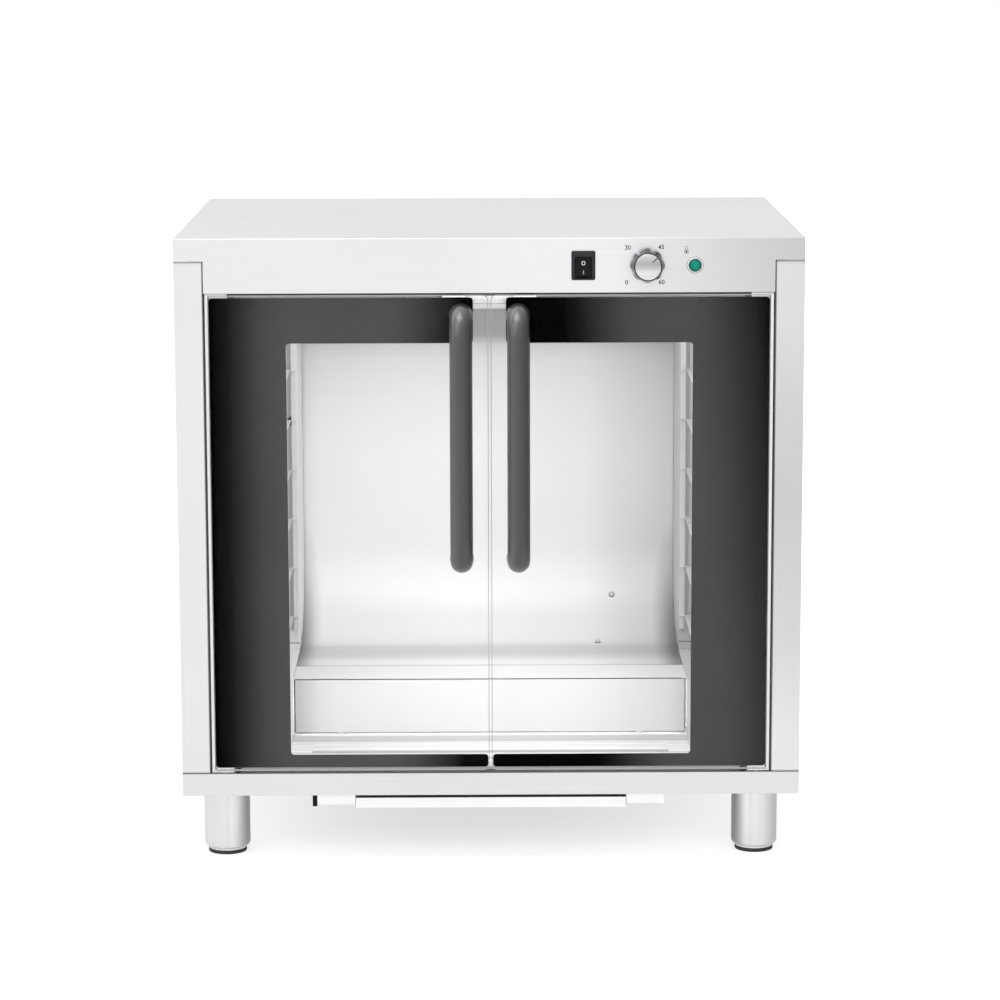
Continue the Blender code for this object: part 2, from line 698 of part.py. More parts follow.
def make_liner(side, sign):
    """One side of the chamber: tall wall, step inwards, lower wall and front closing tab."""
    deep = (at(LINER_FRONT), at(LINER_BACK))
    low = FLOOR_TOP_Z + GAP
    top = OPENING_TOP_Z - GAP
    outside = OPENING_HALF + SHEET
    filled = [
        box((sign * OPENING_HALF, sign * outside), deep, (DECK_BOTTOM_Z, top)),
        box((sign * LOWER_HALF, sign * outside), deep, (DECK_BOTTOM_Z, DECK_TOP_Z)),
        box((sign * LOWER_HALF, sign * (LOWER_HALF + SHEET)), deep, (low, DECK_TOP_Z)),
        box(
            (sign * LOWER_HALF, sign * outside),
            (at(LINER_FRONT), at(LINER_FRONT + SHEET)),
            (low, DECK_TOP_Z),
        ),
    ]
    folded(side + "_liner", filled, LINER_STEEL)


def make_alcove_liner(side, sign):
    """The return behind the trays, with its long air slot, and the wall of the rear alcove."""
    top = OPENING_TOP_Z - GAP
    slot = LOWER_HALF + SLOT_FROM_WALL
    wall = (sign * LOWER_HALF, sign * (LOWER_HALF + SHEET))
    filled = [
        box(
            (sign * LOWER_HALF, sign * (OPENING_HALF - GAP)),
            (at(RETURN_FRONT), at(RETURN_BACK)),
            (DECK_TOP_Z + GAP, top),
        ),
        box(wall, (at(RETURN_FRONT), at(CHAMBER_BACK + SHEET)), (DECK_TOP_Z + GAP, top)),
        box(wall, (at(LINER_BACK + GAP), at(CHAMBER_BACK + SHEET)), (FLOOR_TOP_Z + GAP, DECK_TOP_Z + GAP)),
    ]
    cleared = box(
        (sign * slot, sign * (slot + SLOT_WIDTH)),
        (at(RETURN_FRONT), at(RETURN_BACK)),
        (DECK_TOP_Z + SLOT_MARGIN, top - SLOT_MARGIN),
    )
    folded(side + "_alcove_liner", filled, LINER_STEEL, [cleared])


def make_rear_liner():
    """Deck, round cove and back wall in one bent sheet."""
    centre = (at(CHAMBER_BACK - COVE_RADIUS), DECK_TOP_Z + COVE_RADIUS)
    front = at(RETURN_FRONT - DECK_SEAM)
    top = OPENING_TOP_Z - GAP
    inner = arc(centre, COVE_RADIUS, -90, 0, COVE_STEPS)
    outer = arc(centre, COVE_RADIUS + SHEET, 0, -90, COVE_STEPS)
    outline = [(front, DECK_TOP_Z)] + inner + [(at(CHAMBER_BACK), top), (at(CHAMBER_BACK + SHEET), top)]
    outline += outer + [(front, DECK_BOTTOM_Z)]
    half = LOWER_HALF - GAP
    extruded("rear_liner", outline, 0, (-half, half), LINER_STEEL, smooth=True)


def make_deck_strip():
    """The loose strip of deck in front of the seam, over the basin."""
    half = LOWER_HALF - GAP
    back = at(RETURN_FRONT - DECK_SEAM) - GAP
    strip = box((-half, half), (back - DECK_STRIP_DEPTH, back), (DECK_BOTTOM_Z, DECK_TOP_Z))
    folded("deck_strip", [strip], LINER_STEEL)


def make_ceiling_liner():
    """The flat lid of the chamber."""
    half = OPENING_HALF + SHEET
    lid = box(
        (-half, half),
        (at(LINER_FRONT), at(CHAMBER_BACK + SHEET)),
        (OPENING_TOP_Z, OPENING_TOP_Z + SHEET),
    )
    folded("ceiling_liner", [lid], LINER_STEEL)


def make_floor_liner():
    """The floor: an upstand at the sill and at the rear, two cross ridges, two beads for the basin."""
    half = LOWER_HALF + SHEET
    inner = LOWER_HALF - GAP
    bottom = FLOOR_TOP_Z - SHEET
    rear = CHAMBER_BACK + SHEET + GAP
    filled = [
        box((-half, half), (at(LINER_FRONT), at(rear + SHEET)), (bottom, FLOOR_TOP_Z)),
        box((-inner, inner), (at(LINER_FRONT), at(LINER_FRONT + SHEET)), (bottom, OPENING_BOTTOM_Z - GAP)),
        box(
            (-half, half),
            (at(rear), at(rear + SHEET)),
            (bottom, DECK_TOP_Z + COVE_RADIUS + FLOOR_REAR_TOP),
        ),
    ]
    reach = inner - RIDGE_END
    first = LINER_FRONT + FRONT_RIDGE_FROM_SILL
    second = first + FRONT_RIDGE_WIDTH + RIDGE_SPACE
    for front, width, height in (
        (first, FRONT_RIDGE_WIDTH, FRONT_RIDGE_HEIGHT),
        (second, REAR_RIDGE_WIDTH, REAR_RIDGE_HEIGHT),
    ):
        ridge = (at(front), at(front + width))
        filled.append(box((-reach, reach), ridge, (bottom, FLOOR_TOP_Z + height)))
    for sign in SIDES.values():
        bead = (sign * BEAD_X, sign * (BEAD_X + BEAD_WIDTH))
        filled.append(box(bead, (at(BASIN_FRONT), at(BASIN_BACK)), (bottom, FLOOR_TOP_Z + BEAD_HEIGHT)))
    folded("floor_liner", filled, LINER_STEEL)


# Tray racks

LEDGE_PITCH = 0.070
FIRST_LEDGE_RISE = 0.0505
LEDGE_WIDTH = 0.0255
RACK_FRONT_CLEAR = 0.0035
TAB_DEPTH = 0.004
STOP_WIDTH = 0.007
RACK_SHEET_X = OPENING_HALF - GAP - SHEET
LEDGE_INNER_X = RACK_SHEET_X - LEDGE_WIDTH
STOP_INNER_X = LOWER_HALF + 2 * GAP
STOP_BACK = RETURN_FRONT - GAP
STOP_FRONT = STOP_BACK - TAB_DEPTH


def make_rack(side, sign):
    """A tray rack: one side sheet, seven ledges and the upright that stops the trays."""
    front = at(LINER_FRONT + RACK_FRONT_CLEAR)
    back = at(STOP_FRONT)
    bottom = DECK_TOP_Z + GAP
    top = OPENING_TOP_Z - 2 * GAP
    tab_front = at(STOP_FRONT - TAB_DEPTH)
    filled = [box((sign * RACK_SHEET_X, sign * (RACK_SHEET_X + SHEET)), (front, back), (bottom, top))]
    filled.append(
        box(
            (sign * STOP_INNER_X, sign * (STOP_INNER_X + STOP_WIDTH)),
            (at(STOP_FRONT), at(STOP_BACK)),
            (DECK_TOP_Z + SLOT_MARGIN, top),
        )
    )
    first = DECK_TOP_Z + FIRST_LEDGE_RISE
    count = 1 + int((OPENING_TOP_Z - first) / LEDGE_PITCH)
    for index in range(count):
        level = first + index * LEDGE_PITCH
        thick = (level - SHEET, level)
        filled.append(box((sign * LEDGE_INNER_X, sign * (RACK_SHEET_X + SHEET)), (front, back), thick))
        filled.append(box((sign * STOP_INNER_X, sign * (RACK_SHEET_X + SHEET)), (tab_front, back), thick))
        filled.append(
            box(
                (sign * STOP_INNER_X, sign * (STOP_INNER_X + STOP_WIDTH)),
                (tab_front, at(STOP_BACK)),
                thick,
            )
        )
    folded(side + "_tray_rack", filled, LINER_STEEL)


# Humidifier, heater and sensor

BASIN_SIDE_CLEAR = 0.0025
BASIN_TOP_CLEAR = 0.0006
HEATER_RADIUS = 0.004
HEATER_RISE = 0.040
HEATER_HALF = 0.200
HEATER_BEND = 0.040
HEATER_BACK_CLEAR = 0.050
HEATER_TAIL = 0.030
BRACKET_HALF = 0.150
BRACKET_MARGIN = 0.014
PROBE_RADIUS = 0.0025
PROBE_FLANGE = 0.006
PROBE_TAIL = 0.035
PROBE_DROP = 0.204
TERMINAL_WIDTH = 0.060
TERMINAL_DEPTH = 0.030
TERMINAL_HEIGHT = 0.022
TERMINAL_X = -0.120
TERMINAL_BACK_CLEAR = 0.100


def make_basin():
    """The open water basin that stands on two beads of the floor, under the deck."""
    half = LOWER_HALF - BASIN_SIDE_CLEAR
    bottom = FLOOR_TOP_Z + BEAD_HEIGHT + GAP
    top = DECK_BOTTOM_Z - BASIN_TOP_CLEAR
    outer = box((-half, half), (at(BASIN_FRONT), at(BASIN_BACK)), (bottom, top))
    inner = box(
        (SHEET - half, half - SHEET),
        (at(BASIN_FRONT + SHEET), at(BASIN_BACK - SHEET)),
        (bottom + SHEET, top),
    )
    basin = folded("water_basin", [outer], LINER_STEEL, [inner])
    move_origin(basin, (0, at(BASIN_FRONT), bottom))


def heater_runs():
    """Depths of the two straight runs of the element, and its height."""
    back = CHAMBER_BACK - HEATER_BACK_CLEAR
    return back - 2 * HEATER_BEND, back, FLOOR_TOP_Z + HEATER_RISE


def make_heater():
    """A hairpin heating element that lies across the back under the cove."""
    front, back, z = heater_runs()
    line = [(-HEATER_HALF - HEATER_TAIL, at(front)), (-HEATER_HALF, at(front))]
    line += arc((HEATER_HALF, at((front + back) / 2)), HEATER_BEND, -90, 90, 8)
    line += [(-HEATER_HALF, at(back)), (-HEATER_HALF - HEATER_TAIL, at(back))]
    tube("heating_element", [(x, y, z) for x, y in line], HEATER_RADIUS, DARK_STEEL, 3)


def make_heater_bracket():
    """A strap on the floor with two drilled ears that carry the element."""
    front, back, z = heater_runs()
    deep = (at(front - BRACKET_MARGIN), at(back + BRACKET_MARGIN))
    bottom = FLOOR_TOP_Z + GAP
    filled = [box((-BRACKET_HALF, BRACKET_HALF), deep, (bottom, bottom + SHEET))]
    for sign in SIDES.values():
        ear = (sign * BRACKET_HALF, sign * (BRACKET_HALF - SHEET))
        filled.append(box(ear, deep, (bottom, z + BRACKET_MARGIN)))
    bracket = folded("heater_bracket", filled, LINER_STEEL)
    for depth in (front, back):
        pierce(bracket, (0, at(depth), z), (1, 0, 0), HEATER_RADIUS + GAP, 2 * (BRACKET_HALF + OVERRUN))


def make_probe():
    """The sensor bulb that shows in the left air slot, held by its flange behind the return."""
    x = -(LOWER_HALF + SLOT_FROM_WALL + SLOT_WIDTH / 2)
    flange = RETURN_BACK + GAP
    flange_back = flange + 2 * SHEET
    tip = STOP_FRONT + GAP
    profile = [
        (0, tip),
        (PROBE_RADIUS, tip),
        (PROBE_RADIUS, flange),
        (PROBE_FLANGE, flange),
        (PROBE_FLANGE, flange_back),
        (PROBE_RADIUS, flange_back),
        (PROBE_RADIUS, flange_back + PROBE_TAIL),
        (0, flange_back + PROBE_TAIL),
    ]
    centre = (x, FRONT_Y, OPENING_TOP_Z - PROBE_DROP)
    turned("temperature_probe", profile, centre, (0, 1, 0), 12, DARK_STEEL)


def make_terminal_block():
    """The mains terminal block on top of the chamber."""
    front = CHAMBER_BACK - TERMINAL_BACK_CLEAR
    bottom = OPENING_TOP_Z + SHEET + GAP
    block = box(
        (TERMINAL_X - TERMINAL_WIDTH / 2, TERMINAL_X + TERMINAL_WIDTH / 2),
        (at(front), at(front + TERMINAL_DEPTH)),
        (bottom, bottom + TERMINAL_HEIGHT),
    )
    folded("terminal_block", [block], WHITE_PLASTIC)


# Controls

THERMOSTAT_HALF = 0.021
THERMOSTAT_DEPTH = 0.032
SHAFT_REACH = 0.015
KNOB_SKIRT_RADIUS = 0.0208
KNOB_DISC_RADIUS = 0.017
KNOB_SKIRT_DEPTH = 0.009
KNOB_CHAMFER = 0.0025
KNOB_DEPTH = 0.024
KNOB_CLEAR = 0.0008
KNOB_EDGE = 0.0010
KNOB_LOBES = 8
KNOB_LOBE_SHARE = 0.055
LAMP_RING_RADIUS = 0.010
LAMP_LENS_RADIUS = 0.008
LAMP_RING_DEPTH = 0.0025
LAMP_SEAT = 0.0012
LAMP_LENGTH = 0.028
LENS_DOME = 0.0028
SWITCH_FRAME_DEPTH = 0.0025
SWITCH_BODY_DEPTH = 0.022
ROCKER_DROP = 0.0028
ROCKER_HALF_X = 0.0103
ROCKER_HALF_Z = 0.0129
ROCKER_PIVOT = 0.0035
ROCKER_BACK = 0.0055
ROCKER_TRAVEL = 14
ROCKER_ROOM = 0.0005
ROCKER_Z = CONTROL_Z - ROCKER_DROP
POCKET_DEPTH = 0.012


def make_thermostat():
    """The thermostat behind the fascia, with the shaft that carries the knob."""
    body = box(
        (KNOB_X - THERMOSTAT_HALF, KNOB_X + THERMOSTAT_HALF),
        (at(SHEET + GAP), at(SHEET + GAP + THERMOSTAT_DEPTH)),
        (CONTROL_Z - THERMOSTAT_HALF, CONTROL_Z + THERMOSTAT_HALF),
    )
    thermostat = folded("thermostat_body", [body], WHITE_PLASTIC)
    back = SHEET + GAP + OVERRUN
    middle = (KNOB_X, at((back - SHAFT_REACH) / 2), CONTROL_Z)
    shaft = guide("thermostat_shaft", middle, (0, 1, 0), SHAFT_RADIUS, SHAFT_REACH + back)
    combine(thermostat, shaft, "UNION")


def make_knob():
    """A lobed skirt with a flat round face, bored for the shaft."""
    bore = SHAFT_RADIUS + GAP
    bore_depth = SHAFT_REACH - KNOB_CLEAR + GAP
    shoulder = KNOB_SKIRT_DEPTH + KNOB_CHAMFER
    profile = [
        (0, bore_depth),
        (bore, bore_depth),
        (bore, 0),
        (KNOB_SKIRT_RADIUS, 0),
        (KNOB_SKIRT_RADIUS, KNOB_SKIRT_DEPTH),
        (KNOB_SKIRT_RADIUS - KNOB_CHAMFER, shoulder),
        (KNOB_DISC_RADIUS, shoulder),
        (KNOB_DISC_RADIUS, KNOB_DEPTH - KNOB_EDGE),
        (KNOB_DISC_RADIUS - KNOB_EDGE, KNOB_DEPTH),
        (0, KNOB_DEPTH),
    ]
    centre = (KNOB_X, FRONT_Y - KNOB_CLEAR, CONTROL_Z)
    lobes = (KNOB_LOBES, KNOB_LOBE_SHARE, KNOB_DISC_RADIUS + GAP)
    knob = turned("control_knob", profile, centre, (0, -1, 0), 48, KNOB_SILVER, lobes)
    move_origin(knob, centre)


def make_lamp():
    """The indicator: a ring with a barrel through the fascia, and the green lens in it."""
    centre = (LAMP_X, FRONT_Y, CONTROL_Z)
    seat = LAMP_RING_DEPTH - LAMP_SEAT
    profile = [
        (0, seat),
        (LAMP_LENS_RADIUS + GAP, seat),
        (LAMP_LENS_RADIUS + GAP, LAMP_RING_DEPTH),
        (LAMP_RING_RADIUS - LAMP_SEAT, LAMP_RING_DEPTH),
        (LAMP_RING_RADIUS, seat),
        (LAMP_RING_RADIUS, GAP),
        (LAMP_BARREL, GAP),
        (LAMP_BARREL, -LAMP_LENGTH),
        (0, -LAMP_LENGTH),
    ]
    turned("lamp_bezel", profile, centre, (0, -1, 0), 24, WHITE_PLASTIC)
    sphere = (LAMP_LENS_RADIUS ** 2 + LENS_DOME ** 2) / (2 * LENS_DOME)
    half_angle = math.degrees(math.asin(LAMP_LENS_RADIUS / sphere))
    rim = LAMP_RING_DEPTH
    dome = arc((0, rim + LENS_DOME - sphere), sphere, 90 - half_angle, 90, 5)
    dome[-1] = (0, dome[-1][1])
    lens = [(0, seat + GAP), (LAMP_LENS_RADIUS, seat + GAP)] + dome
    turned("lamp_lens", lens, centre, (0, -1, 0), 24, LENS_GREEN)


def make_switch():
    """The switch: a framed housing pushed through the fascia, and the rocker on its axle."""
    frame = box(
        (SWITCH_X - SWITCH_HALF_X, SWITCH_X + SWITCH_HALF_X),
        (FRONT_Y - GAP - SWITCH_FRAME_DEPTH, FRONT_Y - GAP),
        (CONTROL_Z - SWITCH_HALF_Z, CONTROL_Z + SWITCH_HALF_Z),
    )
    body = box(
        (SWITCH_X - HUNG_BODY_HALF_X, SWITCH_X + HUNG_BODY_HALF_X),
        (FRONT_Y - GAP - SWITCH_FRAME_DEPTH, at(SWITCH_BODY_DEPTH)),
        (CONTROL_Z - HUNG_BODY_HALF_Z, CONTROL_Z + HUNG_BODY_HALF_Z),
    )
    pocket = box(
        (SWITCH_X - ROCKER_HALF_X - GAP, SWITCH_X + ROCKER_HALF_X + GAP),
        (FRONT_Y - GAP - SWITCH_FRAME_DEPTH, at(POCKET_DEPTH)),
        (ROCKER_Z - ROCKER_HALF_Z - ROCKER_ROOM, ROCKER_Z + ROCKER_HALF_Z + ROCKER_ROOM),
    )
    folded("switch_housing", [frame, body], SWITCH_BLACK, [pocket])

    # The upper face stands upright at rest. The lower one is its mirror, turned out by the travel.
    reach = ROCKER_PIVOT + GAP + SWITCH_FRAME_DEPTH
    turn = math.radians(ROCKER_TRAVEL)
    back = ROCKER_BACK - ROCKER_PIVOT
    lower_y = -reach * math.cos(turn) - ROCKER_HALF_Z * math.sin(turn)
    lower_z = reach * math.sin(turn) - ROCKER_HALF_Z * math.cos(turn)
    shape = [
        (-reach, reach * math.tan(turn / 2)),
        (-reach, ROCKER_HALF_Z),
        (back, ROCKER_HALF_Z / 2),
        (back, -ROCKER_HALF_Z / 2),
        (lower_y, lower_z),
    ]
    outline = [(at(ROCKER_PIVOT) + y, ROCKER_Z + z) for y, z in shape]
    width = (SWITCH_X - ROCKER_HALF_X, SWITCH_X + ROCKER_HALF_X)
    rocker = extruded("rocker", outline, 0, width, SWITCH_BLACK)
    move_origin(rocker, (SWITCH_X, at(ROCKER_PIVOT), ROCKER_Z))


# Underside

LEG_RADIUS = 0.030
LEG_WALL = 0.0015
LEG_EDGE = 0.006
LEG_INSET_X = 0.0535
LEG_INSET_Y = 0.053
FOOT_PAD_RADIUS = 0.025
FOOT_PAD_HEIGHT = 0.0055
FOOT_RING_RADIUS = 0.0235
FOOT_STEM_RADIUS = 0.005
FOOT_STEM_LENGTH = 0.045
TRAY_HALF = 0.1755
TRAY_FRONT = 0.002
TRAY_DEPTH = 0.300
TRAY_FALL = 0.0039
TRAY_HEIGHT = 0.0103
TRAY_LIP_DROP = 0.0032
TRAY_SHEET = 0.001
RUNNER_WIDTH = 0.0495
RUNNER_LEDGE = 0.016
RUNNER_FACE_HEIGHT = 0.0126
RUNNER_BACK_CLEAR = 0.010
TRAY_TOP_Z = BASE_BOTTOM_Z - TRAY_FALL
TRAY_BOTTOM_Z = TRAY_TOP_Z - TRAY_HEIGHT
LEG_BORE = FOOT_STEM_RADIUS + GAP


def make_leg(name, x, y):
    """A round tube leg with a closed, rounded bottom that the levelling foot screws into."""
    inner_edge = LEG_EDGE - LEG_WALL
    centre = (LEG_RADIUS - LEG_EDGE, LEG_BOTTOM_Z + LEG_EDGE)
    outside = arc(centre, LEG_EDGE, -90, 0, 3)
    inside = arc(centre, inner_edge, 0, -90, 3)
    profile = [(LEG_BORE, LEG_BOTTOM_Z)] + outside
    profile += [(LEG_RADIUS, LEG_TOP_Z), (LEG_RADIUS - LEG_WALL, LEG_TOP_Z)] + inside
    profile.append((LEG_BORE, LEG_BOTTOM_Z + LEG_WALL))
    turned(name + "_leg", profile, (x, y, 0), (0, 0, 1), 24, STEEL)


def make_foot(name, x, y):
    """A levelling foot: rubber pad, seat ring and threaded stem."""
    profile = [
        (0, 0),
        (FOOT_PAD_RADIUS, 0),
        (FOOT_PAD_RADIUS, FOOT_PAD_HEIGHT),
        (FOOT_RING_RADIUS, FOOT_PAD_HEIGHT),
        (FOOT_RING_RADIUS, FOOT_HEIGHT),
        (FOOT_STEM_RADIUS, FOOT_HEIGHT),
        (FOOT_STEM_RADIUS, FOOT_HEIGHT + FOOT_STEM_LENGTH),
        (0, FOOT_HEIGHT + FOOT_STEM_LENGTH),
    ]
    foot = turned(name + "_foot", profile, (x, y, 0), (0, 0, 1), 20, RUBBER)
    move_origin(foot, (x, y, 0))


def make_legs():
    """Four legs and their feet, one at each corner."""
    for side, sign in SIDES.items():
        x = sign * (HALF_WIDTH - LEG_INSET_X)
        for end, y in (("front", FRONT_Y + LEG_INSET_Y), ("rear", BACK_Y - LEG_INSET_Y)):
            make_leg(f"{side}_{end}", x, y)
            make_foot(f"{side}_{end}", x, y)


def make_drip_tray():
    """A shallow tray with a deeper front lip, which draws out from under the base."""
    deep = (at(TRAY_FRONT), at(TRAY_FRONT + TRAY_DEPTH))
    pan = box((-TRAY_HALF, TRAY_HALF), deep, (TRAY_BOTTOM_Z, TRAY_TOP_Z))
    lip = box(
        (-TRAY_HALF, TRAY_HALF),
        (at(TRAY_FRONT), at(TRAY_FRONT + TRAY_SHEET)),
        (TRAY_BOTTOM_Z - TRAY_LIP_DROP, TRAY_TOP_Z),
    )
    hollow = box(
        (TRAY_SHEET - TRAY_HALF, TRAY_HALF - TRAY_SHEET),
        (at(TRAY_FRONT + TRAY_SHEET), at(TRAY_FRONT + TRAY_DEPTH - TRAY_SHEET)),
        (TRAY_BOTTOM_Z + TRAY_SHEET, TRAY_TOP_Z),
    )
    tray = folded("drip_tray", [pan, lip], STEEL, [hollow])
    move_origin(tray, (0, at(TRAY_FRONT), TRAY_BOTTOM_Z))


def make_runner(side, sign):
    """A runner under the base: top flange, web, ledge for the tray, and a face at the front."""
    web = TRAY_HALF + 2 * GAP
    outer = web + RUNNER_WIDTH
    ledge_top = TRAY_BOTTOM_Z - GAP
    front = at(TRAY_FRONT + TRAY_SHEET + GAP)
    back = at(TRAY_FRONT + TRAY_DEPTH + RUNNER_BACK_CLEAR)
    face_bottom = LEG_TOP_Z - RUNNER_FACE_HEIGHT
    whole = (sign * web, sign * outer)
    upright = (sign * web, sign * (web + SHEET))
    ledge = (sign * (web + SHEET), sign * (web - RUNNER_LEDGE))
    filled = [
        box(whole, (front, back), (LEG_TOP_Z - SHEET, LEG_TOP_Z)),
        box(upright, (front, back), (ledge_top - SHEET, LEG_TOP_Z)),
        box(ledge, (front, back), (ledge_top - SHEET, ledge_top)),
        box(whole, (front, front + SHEET), (face_bottom, LEG_TOP_Z)),
    ]
    folded(side + "_tray_runner", filled, STEEL)


GLAND_BORE = 0.004
GLAND_NUT = 0.012
GLAND_DOME = 0.009
GLAND_INNER = 0.010


def make_gland():
    """The cable gland in the rear sheet, bored through for a lead."""
    inside = SHEET + GAP
    tip = GLAND_LENGTH
    collar = GLAND_LENGTH / 2
    profile = [
        (GLAND_BORE, -inside - GLAND_INNER),
        (GLAND_NUT - GAP, -inside - GLAND_INNER),
        (GLAND_NUT - GAP, -inside),
        (GLAND_SHANK, -inside),
        (GLAND_SHANK, GAP),
        (GLAND_NUT, GAP),
        (GLAND_NUT, collar),
        (GLAND_DOME, tip),
        (GLAND_BORE, tip),
    ]
    centre = (GLAND_X, BACK_Y, POST_BOTTOM_Z + GLAND_RISE)
    turned("cable_gland", profile, centre, (0, 1, 0), 12, SWITCH_BLACK)


def build():
    """Make every piece of the cabinet."""
    make_top_panel()
    make_back_panel()
    make_base_frame()
    make_front_frame()
    make_seal()
    for side, sign in SIDES.items():
        make_side_panel(side, sign)
        make_magnet(side, sign)
        make_pivot_bracket(side, sign, "upper", UPPER_BRACKET_Z)
        make_pivot_bracket(side, sign, "lower", LOWER_BRACKET_Z)
        make_door(side, sign)
        make_liner(side, sign)
        make_alcove_liner(side, sign)
        make_rack(side, sign)
        make_runner(side, sign)
    make_rear_liner()
    make_deck_strip()
    make_ceiling_liner()
    make_floor_liner()
    make_basin()
    make_heater()
    make_heater_bracket()
    make_probe()
    make_terminal_block()
    make_thermostat()
    make_knob()
    make_lamp()
    make_switch()
    make_legs()
    make_drip_tray()
    make_gland()


build()
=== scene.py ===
# %% [markdown]
# # Dressing a proofing cabinet
#
# The model of this cabinet is already built, piece by piece, at its real size. This lesson
# gives it its looks: satin steel sheet, clear doors with a black printed border, a silver
# knob and round legs. The pieces whose curves matter are made again here as fine surfaces,
# and every flat sheet keeps its modelled shape and only gets a finish.

# %% Load the frame
import json
import math

import bpy
import numpy as np
from mathutils import Matrix, Vector

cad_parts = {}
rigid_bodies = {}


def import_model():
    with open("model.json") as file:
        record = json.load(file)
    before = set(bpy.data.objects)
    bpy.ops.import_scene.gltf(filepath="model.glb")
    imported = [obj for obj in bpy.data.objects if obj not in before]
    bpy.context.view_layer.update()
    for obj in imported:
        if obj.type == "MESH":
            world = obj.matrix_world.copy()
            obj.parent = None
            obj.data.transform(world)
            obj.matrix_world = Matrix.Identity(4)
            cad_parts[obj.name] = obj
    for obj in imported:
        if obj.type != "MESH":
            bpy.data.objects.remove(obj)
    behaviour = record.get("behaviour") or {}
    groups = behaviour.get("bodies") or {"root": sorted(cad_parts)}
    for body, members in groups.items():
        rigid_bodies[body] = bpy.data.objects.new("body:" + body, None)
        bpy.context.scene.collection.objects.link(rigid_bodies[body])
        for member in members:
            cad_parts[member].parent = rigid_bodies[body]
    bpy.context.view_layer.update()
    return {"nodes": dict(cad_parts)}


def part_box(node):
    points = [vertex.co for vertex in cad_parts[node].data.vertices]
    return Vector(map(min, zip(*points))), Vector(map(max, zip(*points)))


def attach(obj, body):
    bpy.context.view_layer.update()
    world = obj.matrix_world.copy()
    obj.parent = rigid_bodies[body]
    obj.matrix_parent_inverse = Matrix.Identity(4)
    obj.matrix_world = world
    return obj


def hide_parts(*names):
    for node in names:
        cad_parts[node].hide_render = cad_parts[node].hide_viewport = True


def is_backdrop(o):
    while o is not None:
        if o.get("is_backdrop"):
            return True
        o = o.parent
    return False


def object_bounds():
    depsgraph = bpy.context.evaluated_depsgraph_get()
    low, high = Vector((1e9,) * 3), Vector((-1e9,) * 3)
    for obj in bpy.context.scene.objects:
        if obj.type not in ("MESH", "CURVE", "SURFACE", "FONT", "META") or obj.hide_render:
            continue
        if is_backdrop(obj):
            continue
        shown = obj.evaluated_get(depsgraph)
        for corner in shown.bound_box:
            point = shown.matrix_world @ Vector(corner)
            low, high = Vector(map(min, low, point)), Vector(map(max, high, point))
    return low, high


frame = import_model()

nodes = frame["nodes"]

# %% [markdown]
# ## Where the camera stands
#
# The photograph is taken from a good four metres away, a little above the cabinet's top,
# with a long lens. A camera without shift is turned down by about ten degrees to frame it,
# so its uprights lean together by a few pixels, and every other view stays well framed.

# %% Camera
LENS_MM = 123.0
EYE = (-0.0169, -4.6012, 1.2143)
PITCH_DOWN = 9.73
TURN_RIGHT = 0.395
ROLL = -0.15


def aim_camera():
    """Turn about the upright, then tip about the side axis, then roll about the view axis."""
    turn = Matrix.Rotation(math.radians(-TURN_RIGHT), 4, "Z")
    tip = Matrix.Rotation(math.radians(90 - PITCH_DOWN), 4, "X")
    roll = Matrix.Rotation(math.radians(ROLL), 4, "Z")
    camera = bpy.data.objects.new("camera", bpy.data.cameras.new("camera"))
    camera.data.lens = LENS_MM
    camera.matrix_world = Matrix.Translation(EYE) @ turn @ tip @ roll
    bpy.context.scene.collection.objects.link(camera)
    bpy.context.scene.camera = camera
    return camera


camera = aim_camera()
print("camera at", tuple(round(v, 2) for v in camera.location))

# %% [markdown]
# ## Node trees in a few lines
#
# Every finish below is a small graph of shader nodes. Short helpers keep the graphs short:
# one adds a node with its settings, one starts a material whose main shader is ready, and
# the others wrap the nodes for noise, arithmetic and mixing that all finishes use.

# %% Node helpers
def add_node(tree, kind, inputs=None, **settings):
    """A node of that kind, with attributes set by keyword and input sockets by name."""
    node = tree.nodes.new(kind)
    for key, value in settings.items():
        setattr(node, key, value)
    for key, value in (inputs or {}).items():
        if isinstance(value, bpy.types.NodeSocket):
            tree.links.new(value, node.inputs[key])
        else:
            node.inputs[key].default_value = value
    return node


def start_material(name, **inputs):
    """A material and its Principled shader, with constant sockets set by keyword."""
    material = bpy.data.materials.new(name)
    material.use_nodes = True
    shader = material.node_tree.nodes["Principled BSDF"]
    for key, value in inputs.items():
        shader.inputs[key.replace("_", " ")].default_value = value
    return material, material.node_tree, shader


def place_pattern(tree, scale=(1, 1, 1), location=(0, 0, 0)):
    """Object coordinates stretched and moved: the vector that a texture reads."""
    coordinates = add_node(tree, "ShaderNodeTexCoord").outputs["Object"]
    inputs = {"Vector": coordinates, "Scale": scale, "Location": location}
    return add_node(tree, "ShaderNodeMapping", inputs).outputs["Vector"]


def noise(tree, scale, detail, roughness=0.5):
    """Noise over the piece, squeezed by a scale along each axis."""
    inputs = {"Vector": place_pattern(tree, scale), "Scale": 1.0, "Detail": detail,
              "Roughness": roughness}
    return add_node(tree, "ShaderNodeTexNoise", inputs).outputs["Fac"]


def calculate(tree, operation, *values):
    """One step of arithmetic on numbers or sockets."""
    node = add_node(tree, "ShaderNodeMath", dict(enumerate(values)), operation=operation)
    return node.outputs[0]


def calculate_vector(tree, operation, *values):
    """One step of arithmetic on vectors; a length comes out as a number."""
    node = add_node(tree, "ShaderNodeVectorMath", dict(enumerate(values)), operation=operation)
    return node.outputs["Value" if operation == "LENGTH" else "Vector"]


def map_range(tree, value, low, high, start=0.0, end=1.0, **settings):
    """Stretch a value that runs from start to end between two other numbers."""
    inputs = {"Value": value, "From Min": start, "From Max": end, "To Min": low, "To Max": high}
    return add_node(tree, "ShaderNodeMapRange", inputs, **settings).outputs["Result"]


